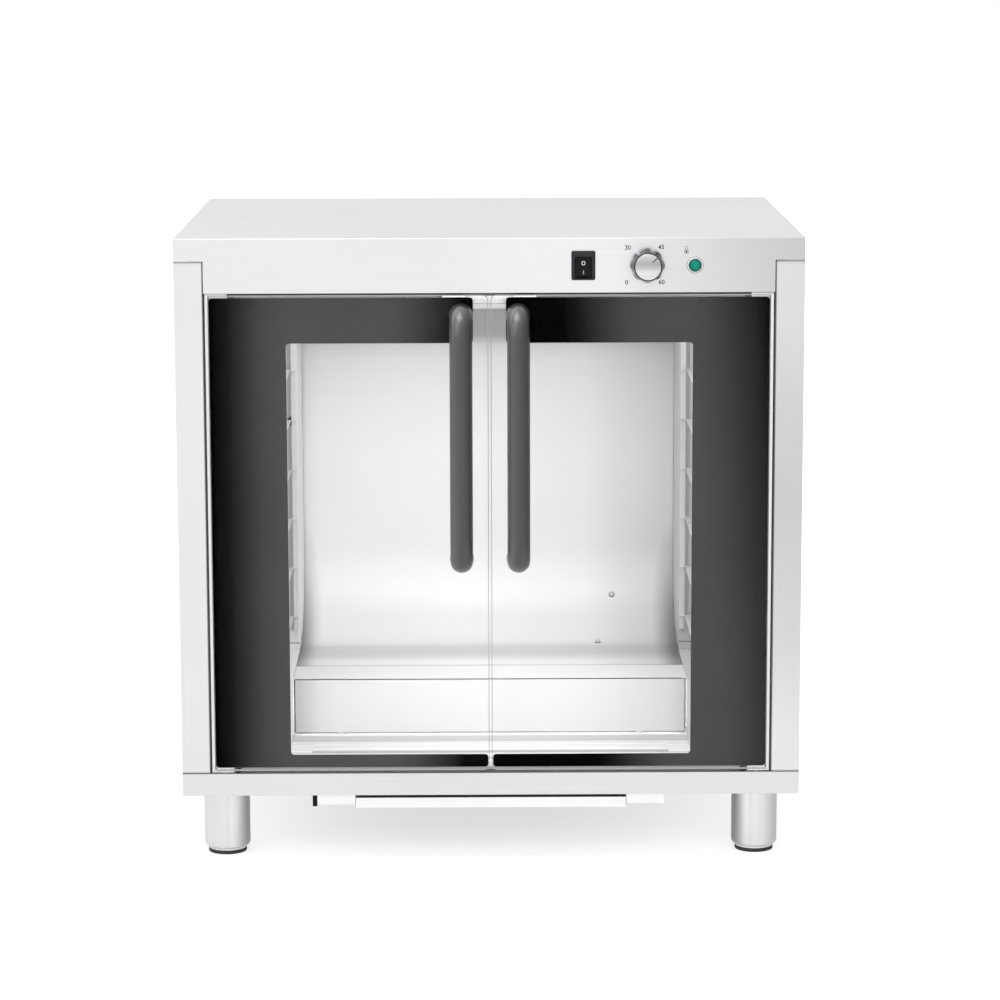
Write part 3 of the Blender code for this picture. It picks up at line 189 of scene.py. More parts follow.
def grey(level):
    """A grey as a colour with full alpha."""
    return (level, level, level, 1.0)


def mix(tree, factor, first, second, how="MIX"):
    """Two colours mixed by a factor."""
    inputs = {"Factor": factor, "A": first, "B": second}
    node = add_node(tree, "ShaderNodeMix", inputs, data_type="RGBA", blend_type=how)
    return node.outputs["Result"]


def multiply(tree, first, second):
    """One colour times another."""
    return mix(tree, 1.0, first, second, "MULTIPLY")


def ramp(tree, factor, stops):
    """A colour ramp of (position, grey or colour) stops."""
    node = add_node(tree, "ShaderNodeValToRGB", {"Fac": factor})
    elements = node.color_ramp.elements
    while len(elements) < len(stops):
        elements.new(0.5)
    for element, (position, colour) in zip(elements, stops):
        element.position = position
        element.color = grey(colour) if isinstance(colour, (int, float)) else (*colour, 1.0)
    return node.outputs["Color"]


# %% [markdown]
# ## Shares of the tone
#
# The white and black cards of a photographer's studio leave slow gradients on bright steel,
# and dark lines in its folds and gaps. A few lamps don't give all of them, so a finish may
# carry shares: numbers around 1 that the tone is multiplied by, from the place on the
# piece. They read Object coordinates, so they stay on a piece that swings or slides.

# %% Shares
def place_on(tree, axis):
    """The place along X, Y or Z in metres; |X| is the distance from the middle."""
    parts = add_node(tree, "ShaderNodeSeparateXYZ", {"Vector": place_pattern(tree)})
    place = parts.outputs[axis.strip("|")]
    return calculate(tree, "ABSOLUTE", place) if "|" in axis else place


def place_share(tree, axis, stops):
    """Share of the tone by the place along an axis, from (metres, share) stops."""
    first, last = stops[0][0], stops[-1][0]
    along = map_range(tree, place_on(tree, axis), 0.0, 1.0, first, last)
    return ramp(tree, along, [((at - first) / (last - first), share) for at, share in stops])


def point_share(tree, point, reach, stops):
    """Share of the tone by the distance from a point, measured in its reach along each axis."""
    scale = tuple(1 / length for length in reach)
    start = tuple(-place * part for place, part in zip(point, scale))
    distance = calculate_vector(tree, "LENGTH", place_pattern(tree, scale, location=start))
    return ramp(tree, distance, stops)


def all_shares(tree, shares):
    """All shares of a finish multiplied, each (axis, stops) or (point, reach, stops)."""
    total = None
    for share in shares:
        kind = place_share if isinstance(share[0], str) else point_share
        here = kind(tree, *share)
        total = multiply(tree, total, here) if total else here
    return total


# %% [markdown]
# ## Brushed sheet
#
# A belt leaves long fine scratches in stainless sheet, all one way. Noise stretched a few
# hundred times along that way gives the streaks. They vary the tone a little, the roughness
# more, and tilt the surface by a hair, so that the sheen runs across the grain. A second,
# broad noise keeps large sheets from looking printed.

# %% Brushed steel
GRAIN = {"along_x": (2.5, 800, 800), "along_z": (800, 800, 2.5), "along_y": (800, 2.5, 800)}
CLOUD_SCALE = (3.2, 3.2, 3.2)
SHARE_ABOVE = 0.86


def only_below(tree, share, height):
    """The share under a height, and one even share above it."""
    above = calculate(tree, "GREATER_THAN", place_on(tree, "Z"), height)
    return mix(tree, above, share, grey(SHARE_ABOVE))


def lay_finish(tree, shader, pattern, colour, roughest, strength=0.0, depth=0.0):
    """Colour, roughness between two values, and a bump where it has strength, in one go."""
    tree.links.new(colour, shader.inputs["Base Color"])
    tree.links.new(map_range(tree, pattern, *roughest), shader.inputs["Roughness"])
    if strength:
        inputs = {"Height": pattern, "Strength": strength, "Distance": depth}
        bump = add_node(tree, "ShaderNodeBump", inputs)
        tree.links.new(bump.outputs["Normal"], shader.inputs["Normal"])


def brushed_steel(name, grain, tone, roughness, metallic=0.92, strength=0.04,
                  spread=(0.955, 1.02), shares=(), below=None, anisotropy=0.35):
    """Tone, roughness and bump follow a stretched noise; shares darken some places."""
    material, tree, shader = start_material(name, Metallic=metallic, Anisotropic=anisotropy)
    streaks = noise(tree, GRAIN[grain], 5.0, 0.65)
    fine = ramp(tree, streaks, [(0.30, tone * spread[0]), (0.70, tone * spread[1])])
    clouds = ramp(tree, noise(tree, CLOUD_SCALE, 2.0), [(0.35, 0.965), (0.65, 1.0)])
    colour = multiply(tree, fine, clouds)
    if shares:
        total = all_shares(tree, shares)
        colour = multiply(tree, colour, only_below(tree, total, below) if below else total)
    roughest = (roughness - 0.06, roughness + 0.08)
    lay_finish(tree, shader, streaks, colour, roughest, strength, depth=0.0004)
    return material


SMOOTH = {"strength": 0.02, "spread": (0.975, 1.01)}


def casing(name, grain, **options):
    """Steel of the outer sheets: bright and satin."""
    return brushed_steel(name, grain, 0.86, 0.32, **options)


def lining(name, grain, tone, metallic=0.15, smooth=SMOOTH, **options):
    """Steel of the chamber: paler and duller, as sheet looks in a lit box of steel."""
    return brushed_steel(name, grain, tone, 0.50, metallic=metallic, **smooth, **options)


print("brushed finishes go", ", ".join(GRAIN))

# %% Painted shade and sheen of the casing
# Painted sheen across the fascia, and a painted highlight along the fold at its top.
FASCIA_PAINTED_SHEEN = [("X", [(-0.40, 0.99), (-0.25, 1.0), (-0.07, 1.0), (0.06, 1.07), (0.15, 1.05),
                       (0.24, 0.93), (0.36, 0.80), (0.40, 0.78)]),
                ("Z", [(0.70, 1.0), (0.8096, 1.0), (0.8101, 1.20), (0.811, 1.20)])]
FASCIA_BELOW = 0.81085
# Painted shadow in the gaps: a dark line along each post's inner edge by the fascia, and at its foot
# and head.
POST_EDGE_SHADOW = ("|X|", [(0.3620, 0.22), (0.3641, 0.22), (0.3648, 1.0), (0.40, 1.0)])
POST_FOOT_SHADOW = [(0.1165, 0.30), (0.1176, 0.30)]
POST_HEAD_SHADOW = [(0.7803, 0.30), (0.7817, 0.30)]
LEFT_POST_SHADE = [POST_EDGE_SHADOW, ("Z", POST_FOOT_SHADOW + [
    (0.1181, 1.0), (0.7777, 1.0), (0.7782, 0.96), (0.7799, 0.96),
] + POST_HEAD_SHADOW)]
# The right post also gets painted shade down its middle, and a darker painted band under its head.
RIGHT_POST_SHADE = [POST_EDGE_SHADOW, ("Z", POST_FOOT_SHADOW + [
    (0.1181, 0.97), (0.17, 0.97), (0.30, 0.85), (0.477, 0.78), (0.60, 0.84), (0.704, 0.95),
    (0.7777, 0.97), (0.7782, 0.86), (0.7799, 0.86),
] + POST_HEAD_SHADOW)]
# Painted shade on the base: a little darker in the middle, and a painted shadow on its top face.
BASE_PAINTED_SHADE = [("X", [(-0.40, 0.97), (0.0, 0.93), (0.40, 0.94)]),
             ("Z", [(0.0865, 1.0), (0.1153, 1.0), (0.1157, 0.30), (0.1162, 0.30)])]
# Painted shadow on the front frame, where it lies deep in the gaps beside the posts and over the
# doors.
FRAME_GAP_SHADOW = [("|X|", [(0.30, 1.0), (0.3628, 1.0), (0.3634, 0.20), (0.3750, 0.20)]),
                ("Z", [(0.70, 1.0), (0.7356, 1.0), (0.7362, 0.12), (0.7525, 0.12)])]
# Painted shade on the tray and runners behind the bright front lip.
TRAY_SHADE_BEHIND_LIP = [("Y", [(-0.30, 1.0), (-0.280, 1.0), (-0.272, 0.80), (0.3, 0.80)])]
print("shades of the casing by place:", len(LEFT_POST_SHADE[1][1]), "on a post")

# %% Painted shade of the chamber
# Painted shade on the back wall: darker towards its sides and lower corners, in bands along the cove
# and deck, and under the ceiling.
WALL_PAINTED_SHADE = [
    ("X", [(-0.268, 0.74), (-0.262, 0.90), (-0.250, 0.98), (-0.235, 1.0), (-0.10, 1.0),
           (0.0, 1.0), (0.07, 0.99), (0.14, 0.99), (0.19, 0.90), (0.268, 0.80)]),
    ((-0.270, 0.13, 0.195), (0.030, 0.40, 0.17),
     [(0.0, 0.30), (0.35, 0.52), (0.70, 0.84), (1.0, 1.0)]),
    ((0.270, 0.13, 0.195), (0.036, 0.40, 0.17),
     [(0.0, 0.24), (0.35, 0.42), (0.70, 0.78), (1.0, 1.0)]),
    ("Y", [(0.0277, 0.66), (0.0320, 0.70), (0.0350, 1.0), (0.062, 0.98), (0.080, 0.84),
           (0.105, 0.74), (0.150, 0.76), (0.165, 0.88), (0.185, 1.0), (0.210, 1.02)]),
    ("Z", [(0.308, 0.96), (0.45, 0.97), (0.523, 0.93), (0.58, 0.86), (0.603, 0.74),
           (0.618, 0.42), (0.719, 0.40)]),
]
# Painted shade lines along the ridges across the chamber floor.
FLOOR_RIDGE_SHADE = [("Y", [
    (-0.262, 1.0), (-0.160, 1.0), (-0.1545, 0.62), (-0.150, 0.98), (-0.1375, 0.98),
    (-0.1346, 0.70), (-0.1315, 0.98), (-0.1235, 0.98), (-0.1206, 0.64), (-0.118, 0.98),
    (-0.1105, 0.98), (-0.1077, 0.62), (-0.105, 0.88), (-0.091, 0.84), (-0.0879, 0.44),
    (-0.085, 0.62), (-0.063, 0.62), (-0.0603, 0.78), (-0.0575, 0.60), (-0.055, 1.0),
    (-0.036, 1.0),
])]
ALCOVE_SEAM = [("Z", [(0.19, 1.0), (0.1980, 1.0), (0.1985, 0.40), (0.1997, 0.40),
                      (0.2002, 1.0), (0.25, 1.0)])]
# Painted shade on the basin's front, darker towards both ends.
BASIN_SIDE_SHADE = [("X", [(-0.2655, 0.62), (-0.250, 0.78), (-0.232, 0.94), (-0.205, 1.0),
                      (0.0, 1.0), (0.02, 0.97), (0.16, 0.97), (0.215, 0.97), (0.245, 0.94),
                      (0.2655, 0.80)])]
print("shades of the back wall:", len(WALL_PAINTED_SHADE))

# %% [markdown]
# ## Crisp sheet edges
#
# Bent and cut sheet never ends in a perfectly sharp edge: a thin bright line runs along each
# fold. The modelled sheets come in as loose triangles with normals of their own, and a bevel
# on those would shade wrongly. So each sheet is copied, its corners are joined, the diagonals
# of flat faces are cleared, and a narrow bevel rounds what is left. The copy takes the place
# of the modelled piece, which keeps the shape and gives up nothing of it.

# %% Clean copies with rounded edges
import bmesh

JOIN_DISTANCE = 0.00002
FLAT_WITHIN = math.radians(0.5)
SHARP_FROM = math.radians(40)
BEVEL_FROM = math.radians(50)


def clean_copy(name):
    """The modelled piece's mesh in place, with shared corners and no diagonals on flat faces."""
    shape = bmesh.new()
    shape.from_mesh(nodes[name].data)
    bmesh.ops.remove_doubles(shape, verts=shape.verts, dist=JOIN_DISTANCE)
    bmesh.ops.dissolve_limit(shape, angle_limit=FLAT_WITHIN, verts=shape.verts, edges=shape.edges)
    shape.transform(nodes[name].matrix_world)
    mesh = bpy.data.meshes.new(name + "_sheet")
    shape.to_mesh(mesh)
    shape.free()
    if "custom_normal" in mesh.attributes:
        mesh.attributes.remove(mesh.attributes["custom_normal"])
    mesh.shade_smooth()
    mesh.set_sharp_from_angle(angle=SHARP_FROM)
    return mesh


def add_piece(name, data, body, material, replaces=()):
    """Link a finished piece, give it its finish, and let it ride on its body."""
    piece = bpy.data.objects.new(name, data)
    bpy.context.scene.collection.objects.link(piece)
    data.materials.clear()
    data.materials.append(material)
    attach(piece, body)
    if replaces:
        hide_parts(*replaces)
    return piece


def dress(material, slot, *names, width=0.0003):
    """Replace modelled pieces by clean copies with this finish and edges rounded by the width."""
    for name in names:
        body = nodes[name].parent.name.split(":")[1]
        piece = add_piece(name + "_finished", clean_copy(name), body, material, [name])
        if width:
            edge = piece.modifiers.new("round_edges", "BEVEL")
            edge.width = width
            edge.segments = 2
            edge.limit_method = "ANGLE"
            edge.angle_limit = BEVEL_FROM
            edge.harden_normals = True


# %% Casing
SHEET = {"width": 0.0004}
fascia_steel = casing("top_and_fascia", "along_x", shares=FASCIA_PAINTED_SHEEN, below=FASCIA_BELOW,
                      anisotropy=0.0)
frame_steel = brushed_steel("frame_steel", "along_x", 1.0, 0.40, metallic=0.1,
                            shares=FRAME_GAP_SHADOW, **SMOOTH)
dress(casing("casing_grain_across", "along_x"), "casing_steel", "back_panel", **SHEET)
dress(fascia_steel, "casing_steel", "top_panel", **SHEET)
dress(casing("base_steel", "along_x", shares=BASE_PAINTED_SHADE), "casing_steel", "base_frame", **SHEET)
dress(frame_steel, "casing_steel", "front_frame", **SHEET)
for side, shades in (("left", LEFT_POST_SHADE), ("right", RIGHT_POST_SHADE)):
    side_steel = casing(side + "_side_steel", "along_z", shares=shades)
    dress(side_steel, "casing_steel", side + "_side_panel", **SHEET)
print("dressed the casing with", fascia_steel.name, "and", frame_steel.name)

# %% Chamber
# The right liner and alcove get a darker tone than the left ones: painted shade on the chamber's right
# side.
for side, tone in (("left", 0.84), ("right", 0.66)):
    liner_steel = lining(side + "_liner_steel", "along_z", tone)
    dress(liner_steel, "liner_steel", side + "_liner", **SHEET)
for side, tone in (("left", 0.82), ("right", 0.58)):
    alcove_steel = lining(side + "_alcove_steel", "along_z", tone, smooth={}, shares=ALCOVE_SEAM)
    dress(alcove_steel, "liner_steel", side + "_alcove_liner", **SHEET)
dress(lining("rack_steel", "along_z", 0.70, metallic=0.3), "liner_steel",
      "left_tray_rack", "right_tray_rack")
dress(lining("liner_grain_across", "along_x", 0.92), "liner_steel",
      "ceiling_liner", "heater_bracket")
dress(lining("deck_strip_steel", "along_x", 0.84), "liner_steel", "deck_strip")
dress(lining("chamber_floor_steel", "along_x", 0.95, metallic=0.1, smooth={}, shares=FLOOR_RIDGE_SHADE),
      "liner_steel", "floor_liner")
dress(lining("back_wall_steel", "along_x", 0.90, shares=WALL_PAINTED_SHADE), "liner_steel",
      "rear_liner")
dress(lining("basin_steel", "along_x", 1.0, metallic=0.0, shares=BASIN_SIDE_SHADE,
             smooth={"strength": 0.02, "spread": (0.985, 1.0)}), "liner_steel", "water_basin")
dress(brushed_steel("tray_and_runner_steel", "along_x", 1.0, 0.34, metallic=0.6,
                    shares=TRAY_SHADE_BEHIND_LIP, **SMOOTH),
      "casing_steel", "drip_tray", "left_tray_runner", "right_tray_runner")
print("dressed the chamber, the basin and the tray")

# %% [markdown]
# ## Glass and its print
#
# Each door is one pane of clear toughened glass. Light passes it without bending much, so
# its shader is a real glass for what the eye sees and a plain see-through sheet for light
# on its way to the chamber; otherwise the chamber would be as dark as under a lens. The
# rim is ground, and so it is matt and pale. The strip beside the post, outside the print,
# is painted near white: painted light, where the frame behind the glass lies in shade.

# %% Glass
RIM_WIDTH = 0.0010
HINGE_STRIP_FROM = 0.3578
CORNER = 0.007


def middle_of(name):
    """The middle of a modelled piece's box."""
    low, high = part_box(name)
    return [(a + b) / 2 for a, b in zip(low, high)]


def near_outline(tree, pane):
    """1 within the rim's width of the outline, a rectangle in x and z with round corners."""
    low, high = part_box(pane)
    x, _, z = middle_of(pane)
    inner = [(b - a) / 2 - CORNER for a, b in zip(low, high)]
    point = place_pattern(tree, (1, 0, 1), location=(-x, 0, -z))
    away = calculate_vector(tree, "ABSOLUTE", point)
    past = calculate_vector(tree, "SUBTRACT", away, (inner[0], 0, inner[2]))
    past = calculate_vector(tree, "MAXIMUM", past, (0, 0, 0))
    reach = calculate_vector(tree, "LENGTH", past)
    return calculate(tree, "GREATER_THAN", reach, CORNER - RIM_WIDTH)


def painted_light_strip(tree):
    """1 on the strip of the pane beside the post, outside the print: painted pale as painted light."""
    return calculate(tree, "GREATER_THAN", place_on(tree, "|X|"), HINGE_STRIP_FROM)


def mix_shaders(tree, factor, first, second):
    """One shader where the factor is 0, the other where it is 1."""
    node = add_node(tree, "ShaderNodeMixShader", {0: factor, 1: first, 2: second})
    return node.outputs["Shader"]


def clear_glass(name, pane):
    """Glass with a ground rim and a strip of painted light beside the post to the eye, a clear sheet
    for shadow and diffuse rays.
    """
    material, tree, shader = start_material(name, Roughness=0.0, IOR=1.07,
                                            Transmission_Weight=1.0)
    tint = ramp(tree, noise(tree, (2.0, 2.0, 2.0), 1.0),
                [(0.3, (0.982, 0.985, 0.984)), (0.7, (0.990, 0.993, 0.992))])
    tree.links.new(tint, shader.inputs["Base Color"])
    # The ground rim is pale grey; the strip beside the post is near white, painted light.
    rim = ramp(tree, painted_light_strip(tree), [(0.0, (0.51, 0.53, 0.52)), (1.0, (0.90, 0.91, 0.91))])
    ground = add_node(tree, "ShaderNodeBsdfDiffuse", {"Color": rim}).outputs["BSDF"]
    edge = calculate(tree, "MAXIMUM", near_outline(tree, pane), painted_light_strip(tree))
    seen = mix_shaders(tree, edge, shader.outputs["BSDF"], ground)
    clear = add_node(tree, "ShaderNodeBsdfTransparent", {"Color": (0.985, 0.987, 0.986, 1.0)})
    ray = add_node(tree, "ShaderNodeLightPath").outputs
    passing = calculate(tree, "MAXIMUM", ray["Is Shadow Ray"], ray["Is Diffuse Ray"])
    total = mix_shaders(tree, passing, seen, clear.outputs["BSDF"])
    tree.links.new(total, tree.nodes["Material Output"].inputs["Surface"])
    return material


for side in ("left", "right"):
    pane = side + "_door_glass"
    dress(clear_glass(side + "_clear_glass", pane), "door_glass", pane, width=0.0006)
    print(side, "pane", np.round(middle_of(pane), 3))

# %% [markdown]
# ## Enamel print
#
# The border is enamel baked on the back of the pane: black, and seen through the gloss. In
# the photograph black cards and the white room stand side by side in it, so its grey runs
# slowly from one to the other. A ramp across the pane draws that, slanted on the right door.

# %% Enamel print
ENAMEL_TONE = 0.845
LEFT_SHADES = [
    (-0.354, 0.001), (-0.334, 0.012), (-0.313, 0.044), (-0.292, 0.082), (-0.272, 0.104),
    (-0.251, 0.114), (-0.138, 0.114), (-0.117, 0.107), (-0.096, 0.086), (-0.076, 0.058),
    (-0.055, 0.032), (-0.034, 0.004),
]
RIGHT_SHADES = [
    (0.109, 0.001), (0.151, 0.001), (0.171, 0.012), (0.192, 0.037), (0.213, 0.064),
    (0.233, 0.090), (0.264, 0.104), (0.313, 0.102), (0.347, 0.074), (0.367, 0.050),
    (0.388, 0.031), (0.409, 0.008), (0.442, 0.001),
]


def enamel(name, stops, slant):
    """Grey by x + slant * z, from (place in metres, grey) stops, with faint mottling."""
    material, tree, shader = start_material(name, Roughness=0.6, Specular_IOR_Level=0.0)
    first, span = stops[0][0], stops[-1][0] - stops[0][0]
    pattern = place_pattern(tree, (1 / span, 1, slant / span), location=(-first / span, 0, 0))
    parts = add_node(tree, "ShaderNodeSeparateXYZ", {"Vector": pattern}).outputs
    across = calculate(tree, "ADD", parts["X"], parts["Z"])
    shade = ramp(tree, across, [((at - first) / span, ENAMEL_TONE * tone) for at, tone in stops])
    mottle = ramp(tree, noise(tree, (9, 9, 9), 3.0), [(0.3, 0.92), (0.7, 1.0)])
    tree.links.new(multiply(tree, shade, mottle), shader.inputs["Base Color"])
    return material


dress(enamel("left_enamel", LEFT_SHADES, 0.0), "glass_print", "left_door_print", width=0)
dress(enamel("right_enamel", RIGHT_SHADES, 0.08), "glass_print", "right_door_print", width=0)
print("enamel shades:", len(LEFT_SHADES), "left,", len(RIGHT_SHADES), "right")

# %% [markdown]
# ## Moulded and coated finishes
#
# Plastic, rubber and powder coat all share one recipe: a colour that wanders by a few
# percent, a roughness that wanders with it, and a very fine pimpled bump. Only the numbers
# differ, so one function makes them all.

# %% Moulded finish
def moulded(name, colour, roughness, grain=900.0, strength=0.08, metallic=0.0, coat=0.0,
            gloss=0.5, shares=()):
    """Fine noise moves colour, roughness and bump around the given values."""
    material, tree, shader = start_material(
        name, Metallic=metallic, Specular_IOR_Level=gloss, Coat_Weight=coat)
    pimples = noise(tree, (grain, grain, grain), 3.0)
    darker = tuple(0.90 * part for part in colour)
    lighter = tuple(min(1.0, 1.08 * part) for part in colour)
    shade = ramp(tree, pimples, [(0.3, darker), (0.7, lighter)])
    if shares:
        shade = multiply(tree, shade, all_shares(tree, shares))
    roughest = (roughness - 0.05, roughness + 0.05)
    lay_finish(tree, shader, pimples, shade, roughest, strength, depth=0.0002)
    return material


silicone = moulded("seal_silicone", (0.93, 0.93, 0.92), 0.55, grain=600)
white_plastic = moulded("shoe_white", (0.93, 0.93, 0.92), 0.45)
black_plastic = moulded("switch_black", (0.008, 0.008, 0.009), 0.42, gloss=0.12)
dark_steel = moulded("dark_steel", (0.10, 0.10, 0.105), 0.42, metallic=0.7)
polished = moulded("polished_steel", (0.78, 0.78, 0.79), 0.20, metallic=0.95, strength=0.02)

# %% Seal, hinges, catches and rocker
hinges = [side + height for side in ("left_", "right_") for height in ("upper_", "lower_")]
dress(silicone, "seal_silicone", "door_seal", width=0.0008)
dress(white_plastic, "white_plastic", *[hinge + "hinge_shoe" for hinge in hinges])
dress(white_plastic, "white_plastic", "terminal_block", "thermostat_body", width=0.0008)
dress(polished, "polished_steel", *[hinge + "pivot_bracket" for hinge in hinges], width=0.0004)
dress(polished, "polished_steel", "left_door_magnet", "right_door_magnet", width=0.0005)
dress(black_plastic, "black_plastic", "rocker", width=0.0005)
dress(dark_steel, "dark_steel", "left_striker_plate", "right_striker_plate", width=0.0002)
print("dressed the seal and", len(hinges), "hinges")

# %% [markdown]
# ## Surfaces from rings
#
# Handles, legs, feet, knob and lamp are all one idea: a stack of rings with skin between
# them. The rings are computed as one array of points, row by row, and the faces as one
# array of corner numbers. If the skin comes out inside out, its volume is negative, and
# the corner order is turned round.

# %% Skin over rings
def loft(name, rings, body, material, closed=False, replaces=(), sharp=35.0):
    """Skin over rings[row, point]. An open stack gets a pole at each end, a closed one joins up."""
    rows, columns, _ = rings.shape
    grid = np.arange(rows * columns).reshape(rows, columns)
    beside = np.roll(grid, -1, axis=1)
    points = rings.reshape(-1, 3)
    if closed:
        quads = np.stack([grid, beside, np.roll(beside, -1, axis=0), np.roll(grid, -1, axis=0)],
                         axis=-1).reshape(-1, 4)
        fans = np.zeros((0, 3), dtype=int)
    else:
        quads = np.stack([grid[:-1], beside[:-1], beside[1:], grid[1:]], axis=-1).reshape(-1, 4)
        points = np.concatenate([points, rings[:1].mean(axis=1), rings[-1:].mean(axis=1)])
        first, last = rows * columns, rows * columns + 1
        fans = np.concatenate([
            np.stack([np.full(columns, first), beside[0], grid[0]], axis=-1),
            np.stack([np.full(columns, last), grid[-1], beside[-1]], axis=-1),
        ])
    triangles = np.concatenate([quads[:, [0, 1, 2]], quads[:, [0, 2, 3]], fans])
    corners = points[triangles] - points.mean(axis=0)
    across = np.cross(corners[:, 1], corners[:, 2])
    if np.einsum("ij,ij->i", corners[:, 0], across).sum() < 0:
        quads, fans = quads[:, ::-1], fans[:, ::-1]
    mesh = bpy.data.meshes.new(name)
    mesh.from_pydata(points.tolist(), [], quads.tolist() + fans.tolist())
    mesh.shade_smooth()
    mesh.set_sharp_from_angle(angle=math.radians(sharp))
    return add_piece(name, mesh, body, material, replaces)


# %% Profiles and turned rings
def round_corners(points, radius, steps=4):
    """A polyline whose inner corners become arcs of at most the given radius."""
    points = np.asarray(points, dtype=float)
    line = [points[:1]]
    for before, here, after in zip(points, points[1:], points[2:]):
        back, ahead = np.linalg.norm(before - here), np.linalg.norm(after - here)
        arm = min(radius, 0.45 * back, 0.45 * ahead)
        start = here + arm * (before - here) / back
        end = here + arm * (after - here) / ahead
        t = np.linspace(0, 1, steps + 1)[:, None]
        line.append((1 - t) ** 2 * start + 2 * t * (1 - t) * here + t ** 2 * end)
    line.append(points[-1:])
    return np.concatenate(line)


def turned_rings(profile, centre, axis=(0, -1, 0), sides=64):
    """Rings of a turned shape: radius and height per row, swung round the axis through centre."""
    radii, heights = np.asarray(profile, dtype=float).T
    angles = np.linspace(0, 2 * np.pi, sides, endpoint=False)
    rings = np.stack([
        radii[:, None] * np.cos(angles),
        radii[:, None] * np.sin(angles),
        np.repeat(heights[:, None], sides, axis=1),
    ], axis=-1)
    turn = np.array(Vector((0, 0, 1)).rotation_difference(Vector(axis)).to_matrix())
    return rings @ turn.T + np.asarray(centre, dtype=float)


def circles_along(line, upright, radius, sides):
    """Circles square to a line in the plane that the upright stands on: cos * upright + sin * side."""
    tangent = np.gradient(line, axis=0)
    tangent /= np.linalg.norm(tangent, axis=1, keepdims=True)
    side = np.cross(tangent, upright)
    angles = np.linspace(0, 2 * np.pi, sides, endpoint=False)[None, :, None]
    ring = np.cos(angles) * np.array(upright) + np.sin(angles) * side[:, None]
    return line[:, None] + np.broadcast_to(radius, len(line))[:, None, None] * ring


# %% [markdown]
# ## Bow handles
#
# A handle is a round bar bent back to the pane at both ends. Its centre line is two
# quarter circles joined by a straight run, and a circle is carried along it: at each point
# the circle stands square to the line. The bar swells slightly at its feet, where it is
# screwed through the glass.

# %% Handles
FOOT_SWELL = 0.07
HANDLE_BEND = 0.026


def bow_line(low, high, steps=14):
    """Centre line: out of the pane, a quarter turn, down, a quarter turn and in again."""
    thickest = (high[0] - low[0]) / 2
    radius = thickest / (1 + FOOT_SWELL)
    front, foot = low[1] + radius, high[1]
    top, bottom = high[2] - thickest, low[2] + thickest
    turn = np.linspace(0, np.pi / 2, steps)
    out = np.linspace(foot, front + HANDLE_BEND, 8)[:-1]
    y = np.concatenate([out, front + HANDLE_BEND - HANDLE_BEND * np.sin(turn)])
    inward = np.concatenate([np.zeros(out.size), HANDLE_BEND - HANDLE_BEND * np.cos(turn)])
    run = np.linspace(top - HANDLE_BEND, bottom + HANDLE_BEND, 24)[1:-1]
    y = np.concatenate([y, np.full(run.size, front), y[::-1]])
    z = np.concatenate([top - inward, run, bottom + inward[::-1]])
    return np.stack([np.full(y.size, (low[0] + high[0]) / 2), y, z], axis=-1), radius


def handle_rings(line, radius):
    """Circles whose radius grows by a bell curve towards both ends of the line."""
    from_end = np.minimum(np.arange(len(line)), np.arange(len(line))[::-1])
    swell = radius * (1 + FOOT_SWELL * np.exp(-(from_end / 2.0) ** 2))
    return circles_along(line, (1.0, 0.0, 0.0), swell, 48)


# %% Handle coat with painted sheen
BAR_PAINTED_SHEEN = ((-0.0145, 2.5), (-0.0125, 2.3), (-0.0100, 1.85), (-0.0070, 1.4), (-0.0030, 1.03),
              (0.0, 0.90), (0.0030, 0.97), (0.0060, 1.1), (0.0115, 1.05), (0.0135, 0.84),
              (0.0145, 0.42))


def handle_coat(side):
    """Grey coat with painted sheen, lighter towards both sides of the bar, and a painted highlight on
    its upper bend.
    """
    low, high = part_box(side + "_door_handle")
    middle = (low[0] + high[0]) / 2
    around = ("X", [(middle + at, share) for at, share in BAR_PAINTED_SHEEN])
    # Painted highlight on the upper bend.
    bend = ((middle - 0.001, low[1] + 0.012, high[2]), (0.013, 0.05, 0.030),
            [(0.0, 1.7), (0.35, 1.6), (1.0, 1.0)])
    return moulded(side + "_handle_coat", (0.089, 0.089, 0.090), 0.30, grain=1400,
                   metallic=0.5, coat=0.15, shares=[around, bend])


for side in ("left", "right"):
    line, radius = bow_line(*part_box(side + "_door_handle"))
    loft(side + "_bow_handle", handle_rings(line, radius), side + "_door", handle_coat(side),
         replaces=[side + "_door_handle"])
    print(side, "handle radius", round(radius, 4))

# %% [markdown]
# ## Legs and levelling feet
#
# The legs are tubes with a rounded, closed bottom, and a foot screws into each. Both are
# turned shapes: the leg's profile runs up the outside and down the inside, so that it stays
# a real tube, and the foot is a rubber pad under a bright ring with a threaded stem.

# %% Legs
LEG_WALL = 0.0015
LEG_BORE = 0.0053
LEG_EDGE = 0.006
# Painted shade and sheen across the round legs: dark towards the sides that face each other, with
# narrow lighter and darker bands.
LEG_PAINTED_SHADE = [("X", [
    (-0.3765, 0.90), (-0.3705, 0.96), (-0.3465, 1.0), (-0.3440, 0.94), (-0.3395, 1.02),
    (-0.3333, 0.93), (-0.3270, 0.68), (-0.3200, 0.40), (-0.3165, 0.26), (0.3165, 0.24),
    (0.3215, 0.38), (0.3270, 0.66), (0.3320, 0.92), (0.3350, 1.0), (0.3400, 0.92),
    (0.3440, 0.99), (0.3560, 0.95), (0.3660, 0.76), (0.3765, 0.56),
])]
leg_steel = brushed_steel("leg_steel", "along_z", 0.84, 0.24, strength=0.015,
                          spread=(0.985, 1.01), shares=LEG_PAINTED_SHADE)


